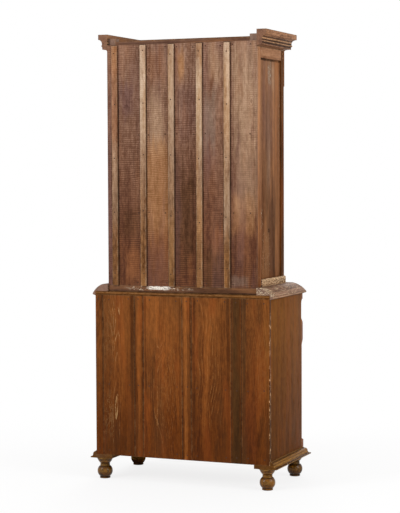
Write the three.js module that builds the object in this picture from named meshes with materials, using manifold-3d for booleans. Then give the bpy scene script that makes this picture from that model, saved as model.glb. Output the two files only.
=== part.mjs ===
// Two-stage teak kas cupboard. The front faces -Y, the back +Y, and Z points up.
// All lengths are in millimetres. "Depth" is measured forward from the plane of the back.
import * as THREE from 'three';
import { mergeVertices } from 'three/addons/utils/BufferGeometryUtils.js';
import Module from 'manifold-3d';

const wasm = await Module();
wasm.setup();

// Running and fitting clearances
const slack = 0.3;
const cutOverrun = 5;
const doorSideGap = 1.5;
const doorEndGap = 2;

// Lower case
const lowerWidth = 920;
const lowerDepth = 457;
const lowerHeight = 780;
const lowerSideThickness = 20;
const lowerBottomThickness = 17;
const lowerTopThickness = 18;
const lowerBackThickness = 16;
const lowerShelfThickness = 18;
const lowerShelfRise = 330;
const lowerShelfHousing = 6;
const lowerShelfSetback = 60;
const frontLedge = 20;

// Back boards of the lower case, from the left as seen from the front; the last takes the rest
const lowerBoardShares = [0.157, 0.058, 0.225, 0.054, 0.224, 0.053, 0.185];
const lowerBoardJoint = 0.6;

// Ball feet and the rails that they are fixed to
const footHeight = 104;
const footSideInset = 27.5;
const footCapRadius = 40.5;
const footBallRadius = 38;
const footBallHeight = 72;
const footBallCentre = 36;
const footShoulderHeight = 61;
const footNeckRadius = 22.5;
const footNeckBead = 2;
const footNeckBeads = 3;
const footPadRadius = 26.5;
const footPadHeight = 7;
const footFlareBulge = 2.5;
const footCapEdge = 6;
const footCapStep = 2;
const footSides = 24;
const footRailWidth = 82;
const footRailThickness = 19;

// Base moulding
const baseMouldingHeight = 36;
const baseProjection = 33;
const baseToe = 6;
const baseTopFillet = 6;
const baseStep = 3;

// Front frame and pilasters of the lower case
const lowerStileWidth = 42;
const lowerFrameThickness = 26;
const lowerHeadHeight = 125;
const bedHeight = 56;
const bedCove = 25;
const doorStop = 8;
const doorStopThickness = 8;
const pilasterWidth = 58;
const shaftProud = 8;
const capitalProud = 24;
const capitalHeight = 135;
const capitalSlope = 25;
const plinthProud = 32;
const plinthHeight = 47;
const plinthSlope = 9;

// Waist moulding round the foot of the upper case
const waistRise = 35;
const waistProjection = 15;
const waistLandShare = 0.35;
const waistLip = 6;
const waistDrop = 22;
const waistUndercut = 5;
const waistBulgeShares = [0.6, 0.24];

// Upper case
const upperSideStep = 68;
const upperFrontStep = 66;
const upperHeight = 1225;
const upperBottomThickness = 30;
const upperTopThickness = 18;
const upperShelfThickness = 18;
const upperShelfSetback = 46;
const upperShelfShares = [0.3, 0.62];
const postSide = 40;
const postStandUp = 17;
const sideRailThickness = 22;
const sideTopRailHeight = 94;
const sidePanelThickness = 12;
const sidePanelSetback = 8;
const panelTongue = 8;
const grooveDepth = 9;
const bearerWidth = 18;
const bearerHeight = 24;
const topBoardDrop = 18;

// Back boards, cover battens and top rail of the upper case
const upperBoardThickness = 15;
const battenThickness = 10;
const battenWidth = 29;
const upperBoardShares = [0.1925, 0.182, 0.1875, 0.1905];
const edgeBattenInset = 41.5;
const backRailHeight = 45;
const backRailThickness = 22;
const boardTopDrop = 17;
const battenTopDrop = 4;

// Cornice and frieze
const corniceHeight = 82;
const corniceOverlap = 45;
const corniceProjection = 48;
const corniceFascia = 25;
const corniceCove = 20;
const corniceBead = 5;
const corniceBeadSeat = 26;
const corniceSoffitRise = 9;
const corniceLowerBand = 12;
const friezeProud = 9;
const friezeThickness = 26;
const friezeHeight = 218;

// Base strip of the upper case
const stripHeight = 41;
const stripProud = 7;
const stripEdge = 4;
const sillThickness = 26;

// Doors
const doorThickness = 24;
const doorStileWidth = 62;
const doorTopRailHeight = 62;
const doorBottomRailHeight = 78;
const doorMoulding = 9;
const doorPanelThickness = 18;
const doorPanelTongue = 7;
const doorPanelBevel = 42;
const doorPanelTongueThickness = 8;
const doorPanelStep = 2.5;
const pivotRadius = 5;
const pivotLength = 12;
const pivotClearance = 0.2;
const pivotSides = 32;

// Locks, keys and keeps
const lockWidth = 56;
const lockHeight = 72;
const lockThickness = 14;
const lockEdgeInset = 1;
const lockSkin = 3;
const boltHeight = 16;
const boltThickness = 8;
const boltLength = 34;
const boltThrow = 16;
const boltSlack = 0.3;
const boltOffset = 16;
const keepReach = 6;
const keepWall = 6;
const keepBridge = 3;
const keepGap = 1.5;
const keepPlay = 1.5;
const keyRadius = 3;
const keyClearance = 0.35;
const keySeatDepth = 8;
const keyShankProud = 14;
const keyCollarRadius = 5;
const keyCollarLength = 4;
const keyBowOuter = 12;
const keyBowInner = 7.5;
const keyBowThickness = 4;
const keySides = 20;
const upperLockShare = 0.46;
const lowerLockShare = 0.56;

// Levels and planes that follow from the sizes above
const upperWidth = lowerWidth - 2 * upperSideStep;
const upperDepth = lowerDepth - upperFrontStep;
const footRailTop = footHeight + footRailThickness;
const lowerFloor = footRailTop + lowerBottomThickness;
const lowerCeiling = lowerFloor + lowerHeight;
const waistLevel = lowerCeiling + lowerTopThickness;
const upperFloor = waistLevel + upperBottomThickness;
const upperTop = waistLevel + upperHeight;
const corniceFoot = upperTop - corniceOverlap;
const stripTop = upperFloor + stripHeight;
const upperHeadBottom = upperTop - friezeHeight;
const lowerHeadBottom = lowerCeiling - lowerHeadHeight;
const totalDepth = lowerDepth + frontLedge + baseProjection;
const postBackDepth = battenThickness + upperBoardThickness;
const upperHalf = upperWidth / 2;
const lowerHalf = lowerWidth / 2;
const postInner = upperHalf - postSide;
const lowerOpening = lowerHalf - lowerSideThickness - lowerStileWidth;

const finishes = {
  oldTeak: new THREE.MeshStandardMaterial({ color: 0x8a5a38, roughness: 0.62, metalness: 0 }),
  sawnBoard: new THREE.MeshStandardMaterial({ color: 0x7d5844, roughness: 0.85, metalness: 0 }),
  paleBatten: new THREE.MeshStandardMaterial({ color: 0xb08a68, roughness: 0.8, metalness: 0 }),
  varnishedTeak: new THREE.MeshStandardMaterial({ color: 0x7a4520, roughness: 0.45, metalness: 0 }),
  mouldingTeak: new THREE.MeshStandardMaterial({ color: 0x84603e, roughness: 0.6, metalness: 0 }),
  turnedTeak: new THREE.MeshStandardMaterial({ color: 0x6b4523, roughness: 0.3, metalness: 0 }),
  insideWood: new THREE.MeshStandardMaterial({ color: 0x946a47, roughness: 0.8, metalness: 0 }),
  iron: new THREE.MeshStandardMaterial({ color: 0x3b3632, roughness: 0.55, metalness: 0.9 }),
  brass: new THREE.MeshStandardMaterial({ color: 0xa8813c, roughness: 0.35, metalness: 1 }),
};

const cupboard = new THREE.Group();

// Y of a plane that lies so far forward of the back
function atDepth(depth) {
  return totalDepth / 2 - depth;
}

function addPiece(name, shape, finish) {
  const geometry = shape.isBufferGeometry ? shape : toGeometry(shape);
  const mesh = new THREE.Mesh(geometry, finish);
  mesh.name = name;
  cupboard.add(mesh);
  return mesh;
}

function geometryOf(vertices, triangles) {
  const geometry = new THREE.BufferGeometry();
  geometry.setAttribute('position', new THREE.Float32BufferAttribute(vertices.flat(), 3));
  geometry.setIndex(triangles.flat());
  return geometry;
}

function toSolid(geometry) {
  const bare = geometry.clone();
  bare.deleteAttribute('normal');
  bare.deleteAttribute('uv');
  const merged = mergeVertices(bare);
  const vertProperties = new Float32Array(merged.attributes.position.array);
  const triVerts = new Uint32Array(merged.index.array);
  return new wasm.Manifold(new wasm.Mesh({ numProp: 3, vertProperties, triVerts }));
}

function toGeometry(solid) {
  const { vertProperties, triVerts } = solid.getMesh();
  const geometry = new THREE.BufferGeometry();
  geometry.setAttribute('position', new THREE.BufferAttribute(new Float32Array(vertProperties), 3));
  geometry.setIndex(new THREE.BufferAttribute(new Uint32Array(triVerts), 1));
  geometry.computeVertexNormals();
  return geometry;
}

// A block between two values on X, two depths and two heights
function block(x0, x1, nearDepth, farDepth, z0, z1) {
  const wide = Math.abs(x1 - x0);
  const deep = Math.abs(farDepth - nearDepth);
  const high = z1 - z0;
  const geometry = new THREE.BoxGeometry(wide, deep, high);
  return geometry.translate((x0 + x1) / 2, atDepth((nearDepth + farDepth) / 2), (z0 + z1) / 2);
}

function blockSolid(...sides) {
  return toSolid(block(...sides));
}

function joined(solids) {
  return solids.reduce((whole, solid) => whole.add(solid));
}

// A round rod along Z
function uprightRod(radius, x, depth, z0, z1, sides) {
  const geometry = new THREE.CylinderGeometry(radius, radius, z1 - z0, sides);
  return geometry.rotateX(Math.PI / 2).translate(x, atDepth(depth), (z0 + z1) / 2);
}

// A round rod along Y, between two depths
function crossRod(radius, x, z, nearDepth, farDepth, sides) {
  const geometry = new THREE.CylinderGeometry(radius, radius, farDepth - nearDepth, sides);
  return geometry.translate(x, atDepth((nearDepth + farDepth) / 2), z);
}

// An outline of [depth, height] points drawn out along X
function prismAlongX(outline, x0, x1) {
  const shape = new THREE.Shape(outline.map(([depth, z]) => new THREE.Vector2(atDepth(depth), z)));
  const geometry = new THREE.ExtrudeGeometry(shape, { depth: x1 - x0, bevelEnabled: false });
  const turn = new THREE.Matrix4().makeBasis(
    new THREE.Vector3(0, 1, 0),
    new THREE.Vector3(0, 0, 1),
    new THREE.Vector3(1, 0, 0),
  );
  return geometry.applyMatrix4(turn).translate(x0, 0, 0);
}

// A plan outline of [x, depth] points drawn up along Z
function prismAlongZ(outline, z0, z1) {
  const shape = new THREE.Shape(outline.map(([x, depth]) => new THREE.Vector2(x, atDepth(depth))));
  const geometry = new THREE.ExtrudeGeometry(shape, { depth: z1 - z0, bevelEnabled: false });
  return geometry.translate(0, 0, z0);
}

// Points on an elliptical quarter, from one end to the other, round the given centre
function quarter(centre, across, up, fromAngle, toAngle, steps) {
  const points = [];
  for (let i = 0; i <= steps; i += 1) {
    const angle = fromAngle + ((toAngle - fromAngle) * i) / steps;
    points.push([centre[0] + across * Math.cos(angle), centre[1] + up * Math.sin(angle)]);
  }
  return points;
}

// A moulding that runs along the left side, the front and the right side with mitred corners.
// Its profile is a closed outline of [projection, height] points, anticlockwise. Where the front
// run reaches further in than the sides do, innerFrontDepth gives the depth of its inner face.
function mitredRun(profile, halfWidth, backDepth, frontDepth, innerFrontDepth) {
  const outline = profile.map(([out, z]) => new THREE.Vector2(out, z));
  const caps = THREE.ShapeUtils.triangulateShape(outline, []);
  const count = profile.length;
  const inner = Math.min(...profile.map(([out]) => out));
  const frontOf = (out) => {
    const reachesIn = innerFrontDepth !== undefined && out === inner;
    return reachesIn ? innerFrontDepth : frontDepth + out;
  };
  const stations = [
    ([out, z]) => [-halfWidth - out, atDepth(backDepth), z],
    ([out, z]) => [-halfWidth - out, atDepth(frontOf(out)), z],
    ([out, z]) => [halfWidth + out, atDepth(frontOf(out)), z],
    ([out, z]) => [halfWidth + out, atDepth(backDepth), z],
  ];
  const vertices = stations.flatMap((place) => profile.map(place));
  const triangles = [];
  for (let run = 0; run < stations.length - 1; run += 1) {
    for (let i = 0; i < count; i += 1) {
      const next = (i + 1) % count;
      const [a, b] = [run * count + i, run * count + next];
      const [c, d] = [a + count, b + count];
      triangles.push([a, c, d], [a, d, b]);
    }
  }
  const last = (stations.length - 1) * count;
  caps.forEach(([a, b, c]) => triangles.push([a, b, c], [last + a, last + c, last + b]));
  return geometryOf(vertices, triangles);
}

// A solid of rectangles parallel to the front, each [depth, inset] from the rectangle given
function rectangleLoft(x0, x1, z0, z1, stations) {
  const vertices = stations.flatMap(([depth, inset]) => [
    [x0 + inset, atDepth(depth), z0 + inset],
    [x1 - inset, atDepth(depth), z0 + inset],
    [x1 - inset, atDepth(depth), z1 - inset],
    [x0 + inset, atDepth(depth), z1 - inset],
  ]);
  const triangles = [];
  const corners = 4;
  for (let s = 0; s < stations.length - 1; s += 1) {
    for (let i = 0; i < corners; i += 1) {
      const next = (i + 1) % corners;
      const [a, b] = [s * corners + i, s * corners + next];
      const [c, d] = [a + corners, b + corners];
      triangles.push([a, d, b], [a, c, d]);
    }
  }
  const last = (stations.length - 1) * corners;
  triangles.push([0, 1, 2], [0, 2, 3], [last, last + 2, last + 1], [last, last + 3, last + 2]);
  return geometryOf(vertices, triangles);
}

// Lower case

// A turned ball foot on a small pad, with beads at its neck and a flared cap
function addFoot(name, x, centreDepth) {
  const halfBall = footBallHeight / 2;
  const lowAngle = Math.asin((footPadHeight - footBallCentre) / halfBall);
  const highAngle = Math.asin((footShoulderHeight - footBallCentre) / halfBall);
  const ball = quarter([0, footBallCentre], footBallRadius, halfBall, lowAngle, highAngle, 12);
  const neck = [];
  let beadFoot = footShoulderHeight;
  for (let i = 0; i < footNeckBeads; i += 1) {
    neck.push(...quarter([footNeckRadius, beadFoot + footNeckBead], footNeckBead, footNeckBead,
      -Math.PI / 2, Math.PI / 2, 4).slice(i === 0 ? 0 : 1));
    beadFoot += 2 * footNeckBead;
  }
  const flareTop = footHeight - footCapEdge;
  const start = new THREE.Vector2(footNeckRadius, beadFoot);
  const end = new THREE.Vector2(footCapRadius - footCapStep, flareTop);
  const pull = new THREE.Vector2((start.x + end.x) / 2 + footFlareBulge,
    (start.y + end.y) / 2 - footFlareBulge);
  const flare = new THREE.QuadraticBezierCurve(start, pull, end).getPoints(6).slice(1);
  const profile = [
    new THREE.Vector2(0, 0),
    new THREE.Vector2(footPadRadius, 0),
    new THREE.Vector2(footPadRadius, footPadHeight),
    ...[...ball, ...neck].map(([r, z]) => new THREE.Vector2(r, z)),
    ...flare,
    new THREE.Vector2(footCapRadius, flareTop),
    new THREE.Vector2(footCapRadius, footHeight),
    new THREE.Vector2(0, footHeight),
  ];
  const turned = new THREE.LatheGeometry(profile, footSides);
  turned.rotateX(Math.PI / 2);
  turned.translate(x, atDepth(centreDepth), 0);
  addPiece(name, toSolid(turned), finishes.turnedTeak);
}

function addFeet() {
  const frontDepth = lowerDepth + frontLedge;
  for (const [side, sign] of [['left', -1], ['right', 1]]) {
    const x = sign * (lowerHalf - footSideInset);
    addFoot(`foot_back_${side}`, x, footCapRadius);
    addFoot(`foot_front_${side}`, x, frontDepth - footCapRadius);
  }
}

// The moulding round the foot of the lower case, glued to the two rails that carry the feet
function addBaseMoulding() {
  const foot = footHeight;
  const top = foot + baseMouldingHeight;
  const curveFoot = foot + baseToe;
  const curveTop = top - baseStep;
  const ogeeMid = [(baseProjection + baseTopFillet) / 2, (curveFoot + curveTop) / 2];
  const lower = quarter([baseProjection - baseStep, ogeeMid[1]],
    baseProjection - baseStep - ogeeMid[0], ogeeMid[1] - curveFoot, -Math.PI / 2, -Math.PI, 5);
  const upper = quarter([baseTopFillet, ogeeMid[1]], ogeeMid[0] - baseTopFillet,
    curveTop - ogeeMid[1], 0, Math.PI / 2, 5);
  const profile = [
    [slack, foot],
    [baseProjection, foot],
    [baseProjection, curveFoot],
    ...lower,
    ...upper.slice(1),
    [baseTopFillet, top],
    [slack, top],
  ];
  const front = lowerDepth + frontLedge;
  const moulding = toSolid(mitredRun(profile, lowerHalf, 0, front));
  const rails = [-1, 1].map((sign) => blockSolid(sign * (lowerHalf - footRailWidth),
    sign * (lowerHalf + baseTopFillet / 2), 0, front + baseTopFillet / 2, foot, footRailTop));
  addPiece('base_moulding', joined([moulding, ...rails]), finishes.mouldingTeak);
}

function addLowerCase() {
  const bottom = blockSolid(-lowerHalf, lowerHalf, lowerBackThickness + slack,
    lowerDepth + frontLedge, footRailTop, lowerFloor);
  const sockets = [-1, 1].map((sign) => toSolid(uprightRod(pivotRadius + pivotClearance,
    sign * lowerPivotX(), lowerPivotDepth(), lowerFloor - socketDepth(), lowerFloor + cutOverrun,
    pivotSides)));
  addPiece('lower_bottom_board', bottom.subtract(joined(sockets)), finishes.oldTeak);

  addPiece('lower_top_board', block(-lowerHalf, lowerHalf, 0, lowerDepth + frontLedge,
    lowerCeiling, waistLevel), finishes.oldTeak);

  const shelfZ = lowerFloor + lowerShelfRise;
  const shelfFront = lowerDepth - lowerShelfSetback;
  for (const [side, sign] of [['left', -1], ['right', 1]]) {
    const outer = sign * lowerHalf;
    const inner = sign * (lowerHalf - lowerSideThickness);
    const plank = blockSolid(inner, outer, lowerBackThickness, lowerDepth, lowerFloor, lowerCeiling);
    const housing = blockSolid(inner - sign * cutOverrun, inner + sign * lowerShelfHousing,
      0, shelfFront + slack, shelfZ, shelfZ + lowerShelfThickness);
    addPiece(`lower_side_${side}`, plank.subtract(housing), finishes.varnishedTeak);
  }
  const shelfHalf = lowerHalf - lowerSideThickness + lowerShelfHousing - slack;
  addPiece('lower_shelf', block(-shelfHalf, shelfHalf, lowerBackThickness + slack, shelfFront,
    shelfZ, shelfZ + lowerShelfThickness), finishes.insideWood);
}

// Widths of boards side by side, the last of which takes what the shares leave
function boardWidths(shares, width) {
  const named = shares.map((share) => share * width);
  return [...named, width - named.reduce((sum, each) => sum + each)];
}

// The wide and narrow upright boards that close the back of the lower case
function addLowerBack() {
  const widths = boardWidths(lowerBoardShares, lowerWidth);
  let left = -lowerHalf;
  widths.forEach((width, i) => {
    const from = left + (i === 0 ? 0 : lowerBoardJoint / 2);
    const to = left + width - (i === widths.length - 1 ? 0 : lowerBoardJoint / 2);
    addPiece(`lower_back_board_${i + 1}`,
      block(from, to, 0, lowerBackThickness, footRailTop, lowerCeiling), finishes.varnishedTeak);
    left += width;
  });
}

// Stiles and head of the lower front, with the cove under the waist and a stop behind the doors
function addLowerFrontFrame() {
  const half = lowerHalf - lowerSideThickness;
  const back = lowerDepth - lowerFrameThickness;
  const head = blockSolid(-half, half, back, lowerDepth, lowerHeadBottom, lowerCeiling);
  const stiles = [-1, 1].map((sign) => blockSolid(sign * lowerOpening, sign * half, back, lowerDepth,
    lowerFloor, lowerHeadBottom + cutOverrun));
  const doorBack = lowerDepth - doorThickness - slack;
  const stop = blockSolid(-lowerOpening, lowerOpening, doorBack - doorStopThickness, doorBack,
    lowerHeadBottom - doorStop, lowerHeadBottom + cutOverrun);
  const coveFoot = lowerCeiling - bedHeight;
  const cove = quarter([lowerDepth + frontLedge, coveFoot], frontLedge, bedCove, Math.PI,
    Math.PI / 2, 6);
  const bed = toSolid(prismAlongX([
    [lowerDepth - slack, lowerCeiling],
    [lowerDepth - slack, coveFoot],
    ...cove,
    [lowerDepth + frontLedge, lowerCeiling],
  ], -half, half));
  const ends = [-1, 1].map((sign) => toSolid(prismAlongX([
    [lowerDepth, lowerCeiling],
    [lowerDepth, coveFoot],
    ...cove.slice(1),
    [lowerDepth + frontLedge, lowerCeiling],
  ], Math.min(sign * half, sign * lowerHalf), Math.max(sign * half, sign * lowerHalf))));
  const sockets = [-1, 1].map((sign) => toSolid(uprightRod(pivotRadius + pivotClearance,
    sign * lowerPivotX(), lowerPivotDepth(), lowerHeadBottom - cutOverrun,
    lowerHeadBottom + socketDepth(), pivotSides)));
  const frame = joined([head, ...stiles, stop, bed, ...ends]).subtract(joined(sockets));
  addPiece('lower_front_frame', frame, finishes.varnishedTeak);
}

// A flat pilaster with a plinth block at its foot and a capital block at its head
function addPilasters() {
  const face = lowerDepth + shaftProud;
  const capTop = lowerHeadBottom;
  const capFoot = capTop - capitalHeight;
  const plinthTop = lowerFloor + plinthHeight;
  const profile = [
    [lowerDepth, lowerFloor],
    [lowerDepth + plinthProud, lowerFloor],
    [lowerDepth + plinthProud, plinthTop - plinthSlope],
    [face, plinthTop],
    [face, capFoot],
    [lowerDepth + capitalProud, capFoot + capitalSlope],
    [lowerDepth + capitalProud, capTop - capitalSlope],
    [lowerDepth, capTop],
  ];
  for (const [side, sign] of [['left', -1], ['right', 1]]) {
    const outer = sign * lowerHalf;
    const inner = sign * (lowerHalf - pilasterWidth);
    addPiece(`pilaster_${side}`, prismAlongX(profile, Math.min(inner, outer), Math.max(inner, outer)),
      finishes.varnishedTeak);
  }
}

function addWaistMoulding() {
  const inner = upperHalf + slack - lowerHalf;
  const top = waistLevel + waistRise;
  const foot = waistLevel - waistDrop;
  const start = new THREE.Vector2(inner + waistLandShare * (waistProjection - inner), top);
  const lip = new THREE.Vector2(waistProjection, foot + waistUndercut + waistLip);
  const [bulgeAcross, bulgeDown] = waistBulgeShares;
  const bulge = new THREE.Vector2(start.x + bulgeAcross * (lip.x - start.x),
    top - bulgeDown * (top - lip.y));
  const slope = new THREE.QuadraticBezierCurve(lip, bulge, start).getPoints(8);
  const profile = [
    [slack, foot],
    [waistProjection, foot + waistUndercut],
    ...slope.map((point) => [point.x, point.y]),
    [inner, top],
    [inner, waistLevel],
    [slack, waistLevel],
  ];
  addPiece('waist_moulding', mitredRun(profile, lowerHalf, 0, lowerDepth + frontLedge,
    upperDepth + slack), finishes.mouldingTeak);
}

// Upper case

function upperShelfLevels() {
  return upperShelfShares.map((share) => upperFloor + share * (upperTop - upperFloor));
}

// A side of the upper case: two corner posts, two rails and the shelf bearers, glued up as one
function addUpperSides() {
  const railInner = upperHalf - sideRailThickness;
  const frontPostBack = upperDepth - postSide;
  const backPostFront = postBackDepth + postSide;
  const panelOuter = upperHalf - sidePanelSetback;
  const panelInner = panelOuter - sidePanelThickness;
  const panelFoot = stripTop;
  const panelHead = upperTop - sideTopRailHeight;
  for (const [side, sign] of [['left', -1], ['right', 1]]) {
    const post = (near, far) => blockSolid(sign * postInner, sign * upperHalf, near, far,
      upperFloor, upperTop + postStandUp);
    const frontPost = blockSolid(sign * postInner, sign * upperHalf, frontPostBack, upperDepth,
      upperFloor, upperTop);
    const rail = (z0, z1) => blockSolid(sign * railInner, sign * upperHalf, backPostFront - slack,
      frontPostBack + slack, z0, z1);
    const bearerEnd = frontPostBack + (postSide - doorThickness) / 2;
    const bearers = upperShelfLevels().map((z) => blockSolid(sign * (postInner - bearerWidth),
      sign * postInner, postBackDepth, bearerEnd, z - bearerHeight, z));
    const seats = upperShelfLevels().map((z) => blockSolid(sign * (postInner - bearerWidth / 2),
      sign * (postInner + bearerWidth / 2), postBackDepth, postBackDepth + postSide / 2,
      z - bearerHeight, z));
    const grooves = blockSolid(sign * (panelInner - slack), sign * (panelOuter + slack),
      backPostFront - grooveDepth, frontPostBack + grooveDepth,
      panelFoot - grooveDepth, panelHead + grooveDepth);
    const frame = joined([post(postBackDepth, backPostFront), frontPost,
      rail(upperFloor, panelFoot), rail(panelHead, upperTop)]).subtract(grooves);
    addPiece(`upper_side_frame_${side}`, joined([frame, ...bearers, ...seats]), finishes.oldTeak);
    addPiece(`upper_side_panel_${side}`, block(sign * panelInner, sign * panelOuter,
      backPostFront - panelTongue, frontPostBack + panelTongue,
      panelFoot - panelTongue, panelHead + panelTongue), finishes.oldTeak);
  }
}

function addUpperBoards() {
  addPiece('upper_bottom_board', block(-upperHalf, upperHalf, battenThickness, upperDepth,
    waistLevel, upperFloor), finishes.oldTeak);

  const railInner = upperHalf - sideRailThickness;
  const back = postBackDepth + backRailThickness;
  const front = upperDepth - friezeThickness;
  const backNotch = postBackDepth + postSide;
  const frontNotch = upperDepth - postSide;
  const plan = [
    [-postInner, back],
    [postInner, back],
    [postInner, backNotch],
    [railInner, backNotch],
    [railInner, frontNotch],
    [postInner, frontNotch],
    [postInner, front],
    [-postInner, front],
    [-postInner, frontNotch],
    [-railInner, frontNotch],
    [-railInner, backNotch],
    [-postInner, backNotch],
  ].reverse();
  const topLevel = upperTop - topBoardDrop;
  addPiece('upper_top_board', prismAlongZ(plan, topLevel - upperTopThickness, topLevel),
    finishes.insideWood);

  const names = ['lower', 'upper'];
  upperShelfLevels().forEach((z, i) => {
    addPiece(`upper_shelf_${names[i]}`, block(-postInner + slack, postInner - slack, postBackDepth,
      upperDepth - upperShelfSetback, z, z + upperShelfThickness), finishes.insideWood);
  });
}

// Five rough boards, five cover battens and the rail that closes the back at the top
function addUpperBack() {
  const boardTop = upperTop - boardTopDrop;
  const widths = boardWidths(upperBoardShares, upperWidth);
  let left = -upperHalf;
  const joints = [];
  widths.forEach((width, i) => {
    const from = left + (i === 0 ? 0 : slack);
    const to = left + width - (i === widths.length - 1 ? 0 : slack);
    addPiece(`upper_back_board_${i + 1}`, block(from, to, battenThickness, postBackDepth,
      upperFloor, boardTop), finishes.sawnBoard);
    left += width;
    joints.push(left);
  });
  const centres = [...joints.slice(0, -1), upperHalf - edgeBattenInset];
  centres.forEach((x, i) => {
    addPiece(`upper_back_batten_${i + 1}`, block(x - battenWidth / 2, x + battenWidth / 2,
      0, battenThickness, upperFloor, boardTop - battenTopDrop), finishes.paleBatten);
  });
  addPiece('upper_back_rail', block(-postInner, postInner, postBackDepth,
    postBackDepth + backRailThickness, upperTop - backRailHeight, upperTop), finishes.oldTeak);
}

// The frieze board laps over the corner posts and carries the upper pivots of the doors
function addFrieze() {
  const back = upperDepth - friezeThickness;
  const face = blockSolid(-upperHalf, upperHalf, upperDepth, upperDepth + friezeProud,
    upperHeadBottom, upperTop);
  const core = blockSolid(-postInner, postInner, back, upperDepth + friezeProud / 2,
    upperHeadBottom, upperTop);
  const doorBack = upperDepth - doorThickness - slack;
  const stop = blockSolid(-postInner, postInner, doorBack - doorStopThickness, doorBack,
    upperHeadBottom - doorStop, upperHeadBottom + cutOverrun);
  const sockets = [-1, 1].map((sign) => toSolid(uprightRod(pivotRadius + pivotClearance,
    sign * upperPivotX(), upperPivotDepth(), upperHeadBottom - cutOverrun,
    upperHeadBottom + socketDepth(), pivotSides)));
  addPiece('upper_frieze', joined([face, core, stop]).subtract(joined(sockets)), finishes.oldTeak);
}

// The strip that wraps the foot of the upper case, with the sill that carries the doors behind it
function addBaseStrip() {
  const foot = waistLevel + waistRise;
  const edgeFoot = stripTop - stripEdge;
  const profile = [
    [0, foot],
    [stripProud, foot],
    [stripProud, edgeFoot],
    [stripProud - stripEdge, stripTop],
    [0, stripTop],
  ];
  const back = postBackDepth + postSide;
  const wrap = toSolid(mitredRun(profile, upperHalf, back, upperDepth));
  const sill = blockSolid(-postInner, postInner, upperDepth - sillThickness, upperDepth,
    upperFloor, stripTop);
  const seam = blockSolid(-postInner, postInner, upperDepth - sillThickness / 2,
    upperDepth + stripEdge / 2, foot, edgeFoot);
  const sockets = [-1, 1].map((sign) => toSolid(uprightRod(pivotRadius + pivotClearance,
    sign * upperPivotX(), upperPivotDepth(), stripTop - socketDepth(), stripTop + cutOverrun,
    pivotSides)));
  const strip = joined([wrap, sill, seam]).subtract(joined(sockets));
  addPiece('upper_base_strip', strip, finishes.mouldingTeak);
}

function addCornice() {
  const foot = corniceFoot;
  const top = foot + corniceHeight;
  const fasciaFoot = top - corniceFascia;
  const coveIn = corniceProjection - corniceCove;
  const coveFoot = fasciaFoot - corniceCove;
  const soffit = quarter([corniceBeadSeat, foot], corniceBeadSeat, corniceSoffitRise,
    Math.PI, Math.PI / 2, 5).slice(1, -1);
  const bandTop = foot + corniceSoffitRise + corniceLowerBand;
  const bead = quarter([corniceBeadSeat, bandTop + corniceBead], corniceBead, corniceBead,
    -Math.PI / 2, Math.PI / 2, 8);
  const cove = quarter([corniceProjection, coveFoot], corniceCove, corniceCove,
    Math.PI, Math.PI / 2, 7);
  const profile = [
    [0, foot],
    ...soffit,
    [corniceBeadSeat, foot + corniceSoffitRise],
    ...bead,
    [coveIn, bandTop + 2 * corniceBead],
    ...cove,
    [corniceProjection, top],
    [0, top],
  ];
  addPiece('cornice', mitredRun(profile, upperHalf, battenThickness, upperDepth + friezeProud),
    finishes.mouldingTeak);
}

// Doors

function socketDepth() {
  return pivotLength + doorEndGap;
}

function upperPivotX() {
  return postInner - doorSideGap - doorThickness / 2;
}

function upperPivotDepth() {
  return upperDepth - doorThickness / 2;
}

function lowerPivotX() {
  return lowerOpening - doorSideGap - doorThickness / 2;
}

function lowerPivotDepth() {
  return lowerDepth - doorThickness / 2;
}

// A framed door with a moulded opening, hung on two pivots in its rounded outer edge
function doorFrame(place) {
  const { sign, pivotX, pivotDepth, z0, z1, front } = place;
  const back = front - doorThickness;
  const meeting = sign * doorSideGap;
  const hung = sign * pivotX;
  const slab = blockSolid(meeting, hung, back, front, z0, z1);
  const edge = toSolid(uprightRod(doorThickness / 2, hung, pivotDepth, z0, z1, pivotSides));
  const pivots = toSolid(uprightRod(pivotRadius, hung, pivotDepth, z0 - pivotLength,
    z1 + pivotLength, pivotSides));
  const opening = doorOpening(place);
  const half = doorPanelTongueThickness / 2;
  const middle = (front + back) / 2;
  const flare = quarter([front, doorMoulding], doorMoulding, doorMoulding, Math.PI,
    Math.PI * 1.5, 5).map(([depth, inset]) => [depth, inset - doorMoulding]).reverse();
  const stations = [
    [front + cutOverrun, -doorMoulding],
    ...flare,
    [middle + half + slack, 0],
    [middle + half + slack, -grooveDepth],
    [middle - half - slack, -grooveDepth],
    [middle - half - slack, 0],
    [back - cutOverrun, 0],
  ];
  const cut = toSolid(rectangleLoft(opening.x0, opening.x1, opening.z0, opening.z1, stations));
  return joined([slab, edge, pivots]).subtract(cut);
}

function doorOpening({ sign, pivotX, z0, z1 }) {
  const a = sign * (doorSideGap + doorStileWidth);
  const b = sign * (pivotX + doorThickness / 2 - doorStileWidth);
  return {
    x0: Math.min(a, b),
    x1: Math.max(a, b),
    z0: z0 + doorBottomRailHeight,
    z1: z1 - doorTopRailHeight,
  };
}

// A raised and fielded panel: a thin tongue, a long bevel, a small step and the raised field
function doorPanel(place) {
  const opening = doorOpening(place);
  const middle = place.front - doorThickness / 2;
  const half = doorPanelTongueThickness / 2;
  const raised = middle - half + doorPanelThickness;
  const bevelTop = raised - doorPanelStep;
  const stations = [
    [raised, doorPanelBevel],
    [bevelTop, doorPanelBevel],
    [middle + half, 0],
    [middle + half, -doorPanelTongue],
    [middle - half, -doorPanelTongue],
  ];
  return rectangleLoft(opening.x0, opening.x1, opening.z0, opening.z1, stations);
}

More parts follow.
